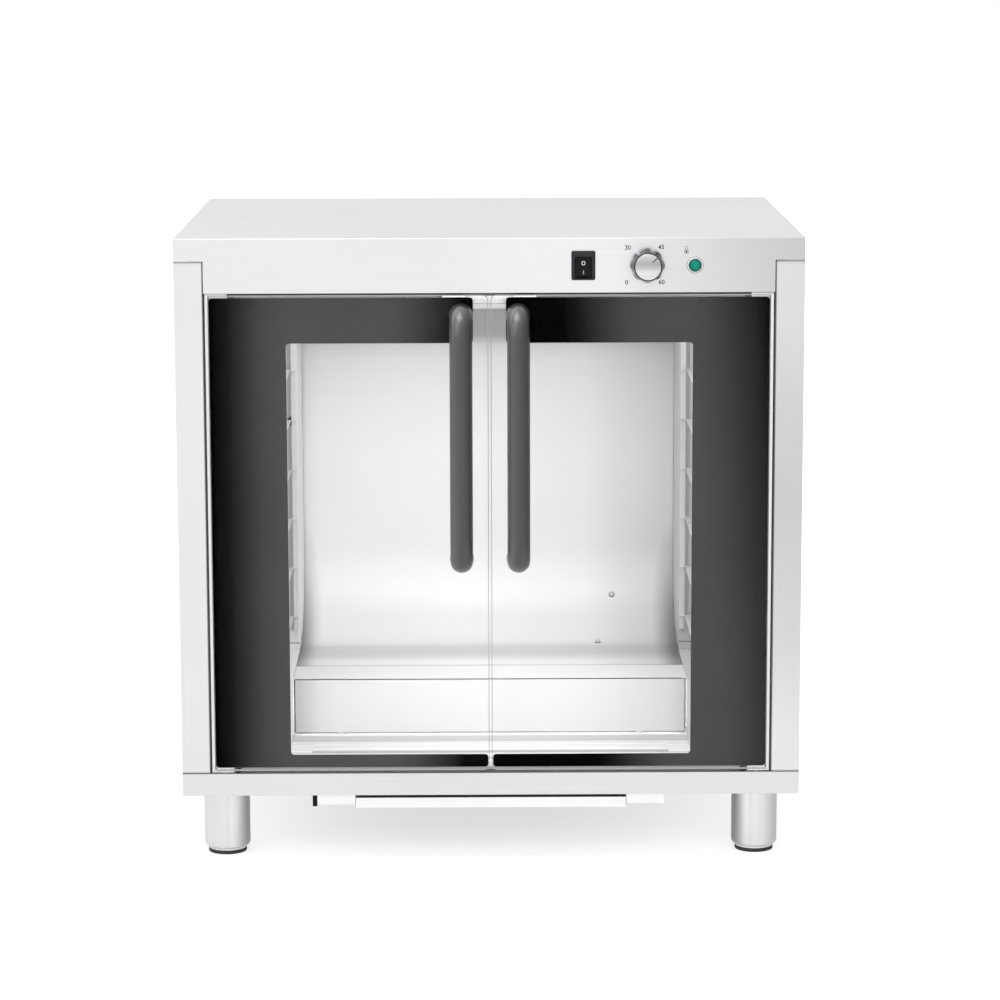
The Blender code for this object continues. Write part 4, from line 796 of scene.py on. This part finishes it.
def turn_leg(name):
    """Tube leg of the same size as the modelled one, with finer rounding."""
    low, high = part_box(name)
    x, y, _ = middle_of(name)
    radius = (high[0] - low[0]) / 2
    inner, floor = radius - LEG_WALL, low[2] + LEG_WALL
    outside = round_corners([(LEG_BORE, low[2]), (radius, low[2]), (radius, high[2])],
                            LEG_EDGE, 10)
    inside = round_corners([(inner, high[2]), (inner, floor), (LEG_BORE, floor)],
                           LEG_EDGE - LEG_WALL, 8)
    rings = turned_rings(np.concatenate([outside, inside]), (x, y, 0), (0, 0, 1), 72)
    loft(name + "_tube", rings, "root", leg_steel, closed=True, replaces=[name])


# %% Feet
NEAR_AXIS = 0.0005
PAD_TOP = 0.0050
RING_TOP = 0.0078
STEM_RADIUS = 0.005
rubber = moulded("foot_rubber", (0.035, 0.035, 0.036), 0.75, grain=1200, strength=0.2)
ring_steel = moulded("foot_ring_steel", (0.97, 0.97, 0.97), 0.45, metallic=0.2, strength=0.02)


def turn_foot(name, body):
    """A rubber pad, and on it a bright ring with the threaded stem."""
    low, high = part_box(name)
    x, y, _ = middle_of(name)
    pad = (high[0] - low[0]) / 2
    ring = pad - 0.0002
    below = round_corners([(NEAR_AXIS, 0), (pad, 0), (pad, PAD_TOP), (NEAR_AXIS, PAD_TOP)],
                          0.0010, 5)
    above = round_corners([
        (NEAR_AXIS, PAD_TOP), (ring, PAD_TOP), (ring, RING_TOP), (STEM_RADIUS, RING_TOP),
        (STEM_RADIUS, high[2]), (NEAR_AXIS, high[2]),
    ], 0.0005, 4)
    loft(name + "_pad", turned_rings(below, (x, y, 0), (0, 0, 1)), body, rubber,
         replaces=[name])
    loft(name + "_ring", turned_rings(above, (x, y, 0), (0, 0, 1)), body, ring_steel)


for corner in ("left_front", "left_rear", "right_front", "right_rear"):
    turn_leg(corner + "_leg")
    turn_foot(corner + "_foot", corner + "_levelling_foot")
    print("turned the", corner, "leg at", np.round(middle_of(corner + "_leg"), 3))

# %% [markdown]
# ## Knob
#
# Seen from the front the knob is a flat silver disc in a wider skirt with eight finger
# lobes. The skirt's rings swell and shrink with a cosine of eight waves round the turn, and
# the waves fade to nothing where the skirt meets the disc.

# %% Knob skirt
LOBES = 8
LOBE_SHARE = 0.035
DISC_RADIUS = 0.0166
DISC_GAP = 0.0007
SKIRT_SIDES = 192
knob_low, knob_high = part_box("control_knob")
knob_x, _, knob_z = middle_of("control_knob")
knob_centre = (knob_x, knob_high[1], knob_z)
knob_depth = knob_high[1] - knob_low[1]


def knob_rings():
    """Turned rings whose radius is multiplied by 1 + share * cos(8 * angle) on the skirt."""
    skirt = (knob_high[0] - knob_low[0]) / 2 / (1 + LOBE_SHARE)
    well, lip = DISC_RADIUS + DISC_GAP, DISC_RADIUS + 2 * DISC_GAP
    profile = round_corners([
        (0.0034, 0.0145), (0.0034, 0.0), (skirt, 0.0), (skirt, 0.008), (skirt - 0.0012, 0.0125),
        (skirt - 0.0030, 0.0200), (lip, knob_depth - 0.0012), (well, knob_depth - 0.0016),
        (well, 0.0170), (0.0004, 0.0170),
    ], 0.0012, 5)
    rings = turned_rings(profile, (0, 0, 0), sides=SKIRT_SIDES)
    angles = np.linspace(0, 2 * np.pi, SKIRT_SIDES, endpoint=False)
    fade = np.clip((profile[:, 0] - lip) / (skirt - lip), 0, 1)[:, None]
    wave = 1 + LOBE_SHARE * np.cos(LOBES * angles) * fade
    rings[..., ::2] *= wave[..., None]
    return rings + np.array(knob_centre)


def on_knob(x, z):
    """A point of the knob, seen from the front, from its centre."""
    return (knob_centre[0] + x, knob_centre[1], knob_centre[2] + z)


# Painted light on the dark chrome skirt: painted shade in the ring next to the disc, lighter towards
# the rim, and two painted glints on its upper side.
PAINTED_GLINT = [(0.0, 6.0), (0.5, 4.5), (1.0, 1.0)]
SKIRT_SHADE_BY_RADIUS = [(0.0166, 0.15), (0.0180, 0.25), (0.0196, 0.75), (0.0212, 1.2), (0.0240, 1.2)]
dark_chrome = moulded("knob_dark_chrome", (0.12, 0.12, 0.13), 0.13, metallic=0.9,
                      strength=0.02, shares=[
    (on_knob(0, 0), (1.0, 1000.0, 1.0), SKIRT_SHADE_BY_RADIUS),
    (on_knob(-0.0130, 0.0168), (0.0042, 1.0, 0.0030), PAINTED_GLINT),
    (on_knob(0.0068, 0.0200), (0.0050, 1.0, 0.0024), PAINTED_GLINT),
])
loft("knob_skirt", knob_rings(), "knob", dark_chrome, replaces=["control_knob"])
print("knob centre", np.round(knob_centre, 4), "depth", round(knob_depth, 4))

# %% Knob disc
# Painted sheen on the disc, darkest a little above its middle.
DISC_PAINTED_SHEEN = [(-0.017, 0.93), (-0.012, 0.87), (-0.0076, 0.91), (-0.005, 0.85), (0.0, 0.62),
              (0.004, 0.52), (0.010, 0.67), (0.015, 0.84), (0.017, 0.88)]


def spun_disc(name, colour, roughness):
    """Metal spun against a stone: rings of fine scratches round an axis along Y, and a painted sheen
    that changes with height.
    """
    material, tree, shader = start_material(name, Metallic=0.9, Anisotropic=0.6)
    around = place_pattern(tree, (1, 0.02, 1), location=(-knob_x, 0, -knob_z))
    waves = add_node(tree, "ShaderNodeTexNoise", {"Scale": 2600.0, "Detail": 4.0},
                     noise_dimensions="1D")
    tree.links.new(calculate_vector(tree, "LENGTH", around), waves.inputs["W"])
    scratches = waves.outputs["Fac"]
    spun = ramp(tree, scratches, [(0.3, tuple(0.95 * part for part in colour)), (0.7, colour)])
    sheen = place_share(tree, "Z", [(knob_z + at, share) for at, share in DISC_PAINTED_SHEEN])
    roughest = (roughness - 0.05, roughness + 0.06)
    lay_finish(tree, shader, scratches, multiply(tree, spun, sheen), roughest)
    return material


disc_back, disc_front = 0.0171, knob_depth - 0.0002
disc_profile = round_corners([
    (0.0004, disc_back), (DISC_RADIUS, disc_back), (DISC_RADIUS, disc_front - 0.0004),
    (DISC_RADIUS - 0.0008, disc_front), (0.0004, disc_front),
], 0.0004, 3)
loft("knob_disc", turned_rings(disc_profile, knob_centre, sides=96), "knob",
     spun_disc("knob_spun_silver", (0.93, 0.93, 0.94), 0.30))
print("disc radius", DISC_RADIUS)

# %% [markdown]
# ## Small marks
#
# The pointer, the figures round the knob, the signs on the rocker and the thermometer sign
# are ink about a tenth of a millimetre thick. Figures come from Blender's own font, turned
# into mesh. The other marks are outlines or rings with an even thickness.

# %% Marks
INK_THICKNESS = 0.00012


def flat_mark(name, outline, plane, body, material):
    """A thin plate over an outline of (x, z) points, its back at y = plane, one or for each."""
    outline = np.asarray(outline, dtype=float)
    count = len(outline)
    x, z = outline.T
    back = np.stack([x, np.broadcast_to(plane, count), z], axis=-1)
    front = back - np.array([0, INK_THICKNESS, 0])
    index = np.arange(count)
    following = np.roll(index, -1)
    sides = np.stack([index, following, following + count, index + count], axis=-1)
    faces = [index[::-1].tolist(), (index + count).tolist()] + sides.tolist()
    if np.sum(x * np.roll(z, -1) - np.roll(x, -1) * z) < 0:
        faces = [face[::-1] for face in faces]
    mesh = bpy.data.meshes.new(name)
    mesh.from_pydata(np.concatenate([back, front]).tolist(), [], faces)
    return add_piece(name, mesh, body, material)


def ring_mark(name, x, z, radius, width, plane, body, material, height=INK_THICKNESS):
    """A thin flat ring: a small rectangle carried round a circle."""
    inner, outer = radius - width / 2, radius + width / 2
    section = np.array([(inner, 0), (outer, 0), (outer, height), (inner, height)])
    rings = turned_rings(section, (x, plane, z), sides=40)
    return loft(name, rings, body, material, closed=True, sharp=30)


def write_figure(text, x, z, size=0.0078):
    """A figure as mesh, centred on (x, z), lying on the fascia."""
    name = "figure_" + text
    curve = bpy.data.curves.new(name, "FONT")
    curve.body = text
    curve.size = size
    curve.extrude = 0.00006
    curve.offset = 0.00008
    curve.align_x = "CENTER"
    curve.align_y = "CENTER"
    holder = bpy.data.objects.new(name + "_outline", curve)
    bpy.context.scene.collection.objects.link(holder)
    mesh = bpy.data.meshes.new_from_object(holder)
    bpy.data.objects.remove(holder)
    mesh.name = name
    upright = Matrix.Rotation(math.radians(90), 4, "X")
    mesh.transform(Matrix.Translation((x, front_y - 0.00008, z)) @ upright)
    return add_piece(name, mesh, "root", ink)


# %% Dial figures and pointer
front_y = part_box("top_panel")[0][1]
ink = moulded("dial_ink", (0.018, 0.018, 0.020), 0.5, gloss=0.1)
FIGURES = {"0": (0.1740, 0.7538), "30": (0.1752, 0.7980), "45": (0.2177, 0.7986),
           "60": (0.2183, 0.7542)}
for text, place in FIGURES.items():
    write_figure(text, *place)

POINTER_ANGLE = math.radians(45)
POINTER_FROM, POINTER_TO, POINTER_HALF = 0.0080, 0.0160, 0.00060
along = np.array([math.sin(POINTER_ANGLE), math.cos(POINTER_ANGLE)])
across = np.array([along[1], -along[0]]) * POINTER_HALF
dial_middle = np.array([knob_x, knob_z])
start, end = dial_middle + along * POINTER_FROM, dial_middle + along * POINTER_TO
flat_mark("knob_pointer", [start - across, start + across, end + across, end - across],
          knob_low[1] + 0.00015, "knob", ink)
print("figures", ", ".join(FIGURES), "and a pointer at 45")

# %% Thermometer sign
grey_ink = moulded("sign_grey", (0.32, 0.32, 0.33), 0.5)


def thermometer_sign(x, z):
    """A bulb ring with a black dot in it, and a smaller ring that stands on it."""
    bulb_z, top_z, dot = z - 0.0026, z + 0.0024, 0.0014
    ring_mark("sign_bulb", x, bulb_z, 0.0027, 0.0008, front_y, "root", grey_ink)
    ring_mark("sign_top", x, top_z, 0.0018, 0.0008, front_y, "root", grey_ink)
    turn = np.linspace(0, 2 * np.pi, 24, endpoint=False)
    outline = np.stack([x + dot * np.cos(turn), bulb_z + dot * np.sin(turn)], axis=-1)
    flat_mark("sign_dot", outline, front_y, "root", ink)


thermometer_sign(0.2495, 0.7955)
print("thermometer sign over the lamp")

# %% [markdown]
# ## Lamp
#
# The indicator is a domed green lens in a pale ring. The lens is a deep green, darker towards
# its rim, and under the ring a thin grey washer draws a fine line of painted shade round its edge.

# %% Lamp
LENS_RADIUS = 0.008
LENS_SEAT = 0.0025


def lens_green():
    """Saturated plastic, deeper towards the rim, with a glossy skin."""
    material, tree, shader = start_material("lens_green", Roughness=0.22,
                                            Specular_IOR_Level=0.25)
    x, _, z = middle_of("lamp_lens")
    part = 1 / LENS_RADIUS
    around = place_pattern(tree, (part, 1, part), location=(-x * part, 0, -z * part))
    flat = calculate_vector(tree, "MULTIPLY", around, (1, 0, 1))
    depth = ramp(tree, calculate_vector(tree, "LENGTH", flat),
                 [(0.0, (0.002, 0.38, 0.26)), (0.7, (0.001, 0.22, 0.16)), (1.0, (0.001, 0.11, 0.08))])
    tree.links.new(depth, shader.inputs["Base Color"])
    return material


def turn_lamp(x, z):
    """Ring and barrel, then the dome, then the washer: turned shapes on one axis along -Y."""
    centre = (x, front_y, z)
    ring = round_corners([
        (0.0004, 0.0013), (0.0083, 0.0013), (0.0083, LENS_SEAT), (0.0092, LENS_SEAT),
        (0.0100, 0.0012), (0.0100, 0.0003), (0.0058, 0.0003), (0.0058, -0.028),
        (0.0004, -0.028),
    ], 0.0006, 3)
    loft("lamp_ring", turned_rings(ring, centre), "root", white_plastic,
         replaces=["lamp_bezel"])
    height = front_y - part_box("lamp_lens")[0][1]
    swing = np.linspace(np.pi / 2, 0.03, 16)
    dome = np.stack([LENS_RADIUS * np.sin(swing),
                     LENS_SEAT + (height - LENS_SEAT) * np.cos(swing)], axis=-1)
    profile = np.concatenate([[(0.0004, 0.0016), (LENS_RADIUS, 0.0016)], dome])
    loft("lamp_dome", turned_rings(profile, centre), "root", lens_green(),
         replaces=["lamp_lens"])
    # A thin grey washer, grey to draw the line of shade round the ring's edge: painted shade.
    ring_mark("lamp_washer", x, z, 0.0103, 0.0008, front_y, "root", grey_ink,
              height=0.0003)


lamp_x, _, lamp_z = middle_of("lamp_bezel")
turn_lamp(lamp_x, lamp_z)
print("lamp at", round(lamp_x, 4), round(lamp_z, 4))

# %% [markdown]
# ## Switch
#
# The frame of the switch is a stack of rounded rectangles: up the body behind the sheet, out
# to the frame's rim, over its rounded front, down a sloping edge and into the pocket where
# the rocker swings. A white O and a grey bar lie on the rocker's two faces.

# %% Switch frame
ROCKER_Z = 0.7730
POCKET_HALF_Z = 0.0134
frame_black = moulded("switch_frame_black", (0.030, 0.031, 0.034), 0.38, gloss=0.18)
rocker_low, rocker_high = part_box("rocker")


def rounded_rectangle(x, y, z, half_x, half_z, corner, steps=8):
    """Points of a rectangle in the plane y whose corners are quarter circles."""
    swing = np.linspace(0, np.pi / 2, steps)
    arcs = [
        np.stack([sx * (half_x - corner) + corner * np.cos(swing + start),
                  sz * (half_z - corner) + corner * np.sin(swing + start)], axis=-1)
        for sx, sz, start in ((1, 1, 0), (-1, 1, np.pi / 2), (-1, -1, np.pi), (1, -1, 1.5 * np.pi))
    ]
    flat = np.concatenate(arcs)
    return np.stack([x + flat[:, 0], np.full(len(flat), y), z + flat[:, 1]], axis=-1)


def switch_rings():
    """Rings from the body's back, round the rim, into the pocket: place, half sizes, corner."""
    low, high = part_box("switch_housing")
    x, _, z = middle_of("switch_housing")
    half_x, half_z = (high[0] - low[0]) / 2, (high[2] - low[2]) / 2
    pocket_x = (rocker_high[0] - rocker_low[0]) / 2 + 0.0003
    back, sheet, rim = high[1], front_y - 0.0003, low[1]
    body_x, body_z = half_x - 0.003, half_z - 0.003
    rows = [
        (back, z, body_x - 0.001, body_z - 0.001, 0.0010),
        (back - 0.001, z, body_x, body_z, 0.0010),
        (sheet, z, body_x, body_z, 0.0010),
        (sheet, z, half_x, half_z, 0.0022),
        (rim + 0.0010, z, half_x, half_z, 0.0022),
        (rim + 0.0004, z, half_x - 0.0003, half_z - 0.0003, 0.0020),
        (rim, z, half_x - 0.0010, half_z - 0.0010, 0.0016),
        (rim, ROCKER_Z, pocket_x + 0.0004, POCKET_HALF_Z + 0.0003, 0.0012),
        (rim + 0.0006, ROCKER_Z, pocket_x, POCKET_HALF_Z, 0.0010),
        (front_y + 0.0118, ROCKER_Z, pocket_x, POCKET_HALF_Z, 0.0010),
    ]
    return np.stack([rounded_rectangle(x, *row) for row in rows])


loft("switch_frame", switch_rings(), "root", frame_black, replaces=["switch_housing"])
print("switch frame of", len(switch_rings()), "rings")

# %% Signs on the rocker
ROCKER_LEAN = math.radians(14)
BAR_HALF, BAR_LOW, BAR_HIGH = 0.0006, 0.7650, 0.7700
rocker_x = (rocker_low[0] + rocker_high[0]) / 2
upper_face = front_y - 0.0028
white_ink = moulded("white_ink", (0.80, 0.80, 0.80), 0.5)
ring_mark("rocker_off_sign", rocker_x, 0.7790, 0.0022, 0.0009, upper_face, "switch_rocker",
          white_ink)

# The lower face leans out by the rocker's travel, and so does the bar that lies on it.
bend_z = ROCKER_Z + 0.0063 * math.tan(ROCKER_LEAN / 2)
bar = np.array([(-BAR_HALF, BAR_LOW), (BAR_HALF, BAR_LOW), (BAR_HALF, BAR_HIGH),
                (-BAR_HALF, BAR_HIGH)])
lower_face = upper_face - (bend_z - bar[:, 1]) * math.tan(ROCKER_LEAN)
flat_mark("rocker_on_sign", bar + (rocker_x, 0), lower_face + 0.00002, "switch_rocker",
          grey_ink)
print("signs on the rocker at x", round(rocker_x, 4))

# %% [markdown]
# ## Round pieces behind the front
#
# The sensor bulb, the cable gland and the heating element are round too. They hardly show,
# but someone may open the doors or walk round, so they get the same care.

# %% Sensor and gland
def turn_along_box(node, rows):
    """A turned piece along Y, from rows of (radius, place along the box from 0 to 1)."""
    low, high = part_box(node)
    x, _, z = middle_of(node)
    profile = [(radius, low[1] + share * (high[1] - low[1])) for radius, share in rows]
    return turned_rings(round_corners(profile, 0.0008, 3), (x, 0, z), (0, 1, 0), 48)


rings = turn_along_box("temperature_probe", [
    (0.0003, 0.0), (0.0025, 0.0), (0.0025, 0.117), (0.006, 0.117), (0.006, 0.172),
    (0.0025, 0.172), (0.0025, 1.0), (0.0003, 1.0),
])
loft("probe_bulb", rings, "root", dark_steel, replaces=["temperature_probe"])

rings = turn_along_box("cable_gland", [
    (0.0041, 0.0), (0.0116, 0.0), (0.0116, 0.317), (0.0075, 0.317), (0.0075, 0.375),
    (0.012, 0.375), (0.012, 0.68), (0.009, 1.0), (0.0041, 1.0),
])
loft("gland_turned", rings, "root", black_plastic, closed=True, replaces=["cable_gland"])

# %% Heating element
def hairpin():
    """Circles along two straight runs joined by half a circle, in one level plane."""
    low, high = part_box("heating_element")
    z = middle_of("heating_element")[2]
    radius = (high[2] - low[2]) / 2 / math.cos(math.pi / 10)
    front, back = low[1] + radius, high[1] - radius
    bend = (back - front) / 2
    turn = np.linspace(-np.pi / 2, np.pi / 2, 24)
    end = high[0] - radius - bend
    run = np.linspace(low[0], end, 12)[:-1]
    x = np.concatenate([run, end + bend * np.cos(turn), run[::-1]])
    y = np.concatenate([np.full(run.size, front), (front + back) / 2 + bend * np.sin(turn),
                        np.full(run.size, back)])
    line = np.stack([x, y, np.full(x.size, z)], axis=-1)
    return circles_along(line, (0.0, 0.0, 1.0), 0.98 * radius, 24)


loft("hairpin_element", hairpin(), "root", dark_steel, replaces=["heating_element"])
print("sensor, gland and element made")

# %% [markdown]
# ## Screws of the back wall
#
# Two domed screw heads hold the back wall, right of its middle, each on a black washer that
# draws the dark ring of shade round the head: painted shade. They stand on the round cove
# between wall and deck, so each is turned about the line to the cove's own centre. The lower
# one looks up steeply and is seen edge-on, so its head is taller.

# %% Back wall screws
COVE_CENTRE = (0.165, 0.308)
COVE_RADIUS = 0.120
SCREW_RADIUS = 0.0030
WASHER_RADIUS = 0.0042
screw_steel = moulded("screw_steel", (0.80, 0.80, 0.81), 0.35, metallic=0.5, strength=0.02)


def screw_head(name, x, angle, rise=0.0):
    """A domed head on a black washer that draws its ring of shade, where the cove has turned by this
    angle from the deck.
    """
    outward = np.array([0.0, math.sin(angle), -math.cos(angle)])
    seat = np.array([x, *COVE_CENTRE]) + (COVE_RADIUS - 0.0002) * outward
    inward = tuple(-outward)
    flat = [(0.0003, 0.0), (WASHER_RADIUS, 0.0), (WASHER_RADIUS, 0.0006),
            (WASHER_RADIUS - 0.0003, 0.0009), (0.0003, 0.0009)]
    loft(name + "_washer", turned_rings(flat, seat, inward, 40), "root", rubber)
    swing = np.linspace(np.pi / 2, 0.06, 12)
    dome = np.stack([0.85 * SCREW_RADIUS * np.sin(swing),
                     0.0018 + rise + 0.8 * SCREW_RADIUS * np.cos(swing)], axis=-1)
    shank = [(0.0003, 0.0010), (SCREW_RADIUS, 0.0010), (SCREW_RADIUS, 0.0016 + rise)]
    loft(name, turned_rings(np.concatenate([shank, dome]), seat, inward, 40), "root",
         screw_steel)


screw_head("upper_wall_screw", 0.1782, math.radians(55.6))
screw_head("lower_wall_screw", 0.1551, math.radians(4.9), rise=0.003)
print("two screws on the cove")

# %% [markdown]
# ## Black block beside the left runner
#
# A small black block sits against the left runner's outer side, under the base.
# It is a stack of rounded rectangles again, the first and the last a little smaller.

# %% Black block
STOP_WIDTH, STOP_DEPTH, STOP_EDGE, STOP_GAP = 0.0060, 0.030, 0.0006, 0.0002


def runner_stop():
    """A moulded block with rounded edges all round, as high as the runner."""
    low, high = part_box("left_tray_runner")
    x = low[0] - STOP_GAP - STOP_WIDTH / 2
    z, half_z = (high[2] - STOP_GAP + low[2]) / 2, (high[2] - low[2]) / 2 - STOP_GAP
    front, back = low[1] + STOP_GAP, low[1] + STOP_DEPTH
    rows = [(front, -STOP_EDGE), (front + STOP_EDGE, 0), (back, 0), (back + STOP_EDGE, -STOP_EDGE)]
    return np.stack([
        rounded_rectangle(x, y, z, STOP_WIDTH / 2 + grow, half_z + grow, 0.0009, 6)
        for y, grow in rows
    ])


stop = runner_stop()
loft("runner_stop", stop, "root", black_plastic)
print("stop box", np.round(stop.min(axis=(0, 1)), 4), np.round(stop.max(axis=(0, 1)), 4))

# %% [markdown]
# ## Floor and world
#
# The photograph is a cut-out on white. A pale floor takes a soft shadow, and the world is
# white wherever the camera, a mirror ray or a ray through glass looks, but gives a little
# less light than that, so that pale steel keeps its tone. What the floor shows of itself
# grows with the distance from the cabinet, which leaves the shadow under it.

# %% Floor
FLOOR_TONE = 0.80
FLOOR_TONE_IN_MIRRORS = 0.44
MIRROR_GLOW = 0.62
FLOOR_GLOW = 0.42
GLOW_FROM, GLOW_FULL = 0.10, 2.4
GLOW_OVAL = (2.4, 1, 0)
FADE_ACROSS = [(-3.0, 0.7), (-0.9, 1.0), (0.6, 1.0), (1.8, 0.45), (3.0, 0.25)]
FADE_FORWARD = [(-14.0, 1.6), (-7.5, 1.5), (-4.5, 1.15), (-2.0, 1.0)]


def pale_floor():
    """Diffuse white, with a glow that only the camera, glass and mirrors see."""
    material, tree, shader = start_material("pale_floor", Roughness=0.9, Specular_IOR_Level=0.1)
    ray = add_node(tree, "ShaderNodeLightPath").outputs
    mirrored = ray["Is Glossy Ray"]
    base = mix(tree, mirrored, grey(FLOOR_TONE), grey(FLOOR_TONE_IN_MIRRORS))
    tree.links.new(base, shader.inputs["Base Color"])
    fade = multiply(tree, place_share(tree, "X", FADE_ACROSS), place_share(tree, "Y", FADE_FORWARD))
    shine = multiply(tree, fade, calculate(tree, "MULTIPLY", mirrored, MIRROR_GLOW))
    distance = calculate_vector(tree, "LENGTH", place_pattern(tree, GLOW_OVAL))
    far = map_range(tree, distance, FLOOR_GLOW, 1.0, GLOW_FROM, GLOW_FULL,
                    interpolation_type="SMOOTHSTEP")
    seen = calculate(tree, "MAXIMUM", ray["Is Camera Ray"], ray["Is Transmission Ray"])
    inputs = {"Color": mix(tree, seen, shine, far), "Strength": 1.0}
    glow = add_node(tree, "ShaderNodeEmission", inputs).outputs["Emission"]
    total = add_node(tree, "ShaderNodeAddShader", {0: shader.outputs["BSDF"], 1: glow})
    tree.links.new(total.outputs["Shader"], tree.nodes["Material Output"].inputs["Surface"])
    return material


def make_floor(half=15.0):
    """One level square just under the feet."""
    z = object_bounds()[0][2] - 0.0002
    mesh = bpy.data.meshes.new("floor")
    corners = [(-half, -half, z), (half, -half, z), (-half, half, z), (half, half, z)]
    mesh.from_pydata(corners, [], [(0, 1, 3, 2)])
    mesh.materials.append(pale_floor())
    floor = bpy.data.objects.new("floor", mesh)
    bpy.context.scene.collection.objects.link(floor)
    floor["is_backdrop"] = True
    return floor


print("floor of", len(make_floor().data.polygons), "face")

# %% World
def make_world(light=0.42, seen=1.0):
    """White to the eye and through glass, darker to the right in mirrors, less as light."""
    world = bpy.data.worlds.new("studio")
    bpy.context.scene.world = world
    world.use_nodes = True
    tree = world.node_tree
    ray = add_node(tree, "ShaderNodeLightPath").outputs
    direct = calculate(tree, "MAXIMUM", ray["Is Camera Ray"], ray["Is Glossy Ray"])
    direct = calculate(tree, "MAXIMUM", direct, ray["Is Transmission Ray"])
    direction = add_node(tree, "ShaderNodeTexCoord").outputs["Generated"]
    parts = add_node(tree, "ShaderNodeSeparateXYZ", {"Vector": direction})
    sideways = map_range(tree, parts.outputs["X"], 0.0, 1.0, -1.0, 1.0)
    shades = ramp(tree, sideways, [(0.0, 0.80), (0.35, 1.0), (0.62, 1.0), (0.78, 0.55),
                                   (1.0, 0.35)])
    background = tree.nodes["Background"].inputs
    tree.links.new(mix(tree, ray["Is Glossy Ray"], grey(1.0), shades), background["Color"])
    tree.links.new(map_range(tree, direct, light, seen), background["Strength"])
    return world


print("world", make_world().name)

# %% [markdown]
# ## Lamps
#
# One broad lamp from the upper left front gives the sheets their slow gradients, and a
# second one from the front fills them. The others are small and stand where the studio's
# light found its own way in: under the ceiling, over the basin, in the gaps beside and under
# the basin, behind the slots of the back wall, and behind the doors' upper edge.

# %% Lamps
def add_lamp(name, place, target, size, power, mirrored=True):
    """An area lamp that faces its target, and shows in mirror rays or not."""
    lamp = bpy.data.lights.new(name, "AREA")
    lamp.shape = "RECTANGLE"
    lamp.size, lamp.size_y = size if isinstance(size, tuple) else (size, size)
    lamp.energy = power
    holder = bpy.data.objects.new(name, lamp)
    holder.location = place
    facing = Vector(target) - Vector(place)
    holder.rotation_euler = facing.to_track_quat("-Z", "Y").to_euler()
    holder.visible_camera = False
    holder.visible_glossy = mirrored
    bpy.context.scene.collection.objects.link(holder)


HIDDEN = {"mirrored": False}
strip_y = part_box("water_basin")[0][1] + 0.0015
door_gap_y = front_y + 0.012
add_lamp("key", (-2.6, -3.0, 3.4), (0, 0, 0.5), 3.6, 36)
add_lamp("front", (0.9, -4.6, 2.4), (0, 0, 0.4), 4.4, 90, **HIDDEN)
add_lamp("into_basin", (0.0, -0.16, 0.45), (0.0, -0.05, 0.15), (0.40, 0.10), 0.36, **HIDDEN)
add_lamp("overhead", (-0.5, -0.4, 3.2), (-0.1, -0.2, 0.8), 1.6, 26)
add_lamp("chamber", (0.0, 0.02, 0.712), (0, 0.10, 0.1), 0.5, 2.08)
add_lamp("door_head", (0, door_gap_y, 0.7365), (0, 0.2, 0.70), (0.07, 0.002), 0.0013, **HIDDEN)
add_lamp("under_basin", (0, strip_y, 0.1117), (0, 0.2, 0.1095), (0.52, 0.003), 0.018, **HIDDEN)
for x in (-0.292, 0.292):
    add_lamp("behind_slot", (x, 0.295, 0.40), (x, 0.33, 0.40), (0.03, 0.54), 0.018)
for x in (-0.2668, 0.2668):
    add_lamp("beside_basin", (x, strip_y, 0.15), (x, 0.2, 0.15), (0.0016, 0.07), 0.008, **HIDDEN)
bpy.context.scene.view_settings.view_transform = "Standard"
print("lamps:", len(bpy.data.lights))
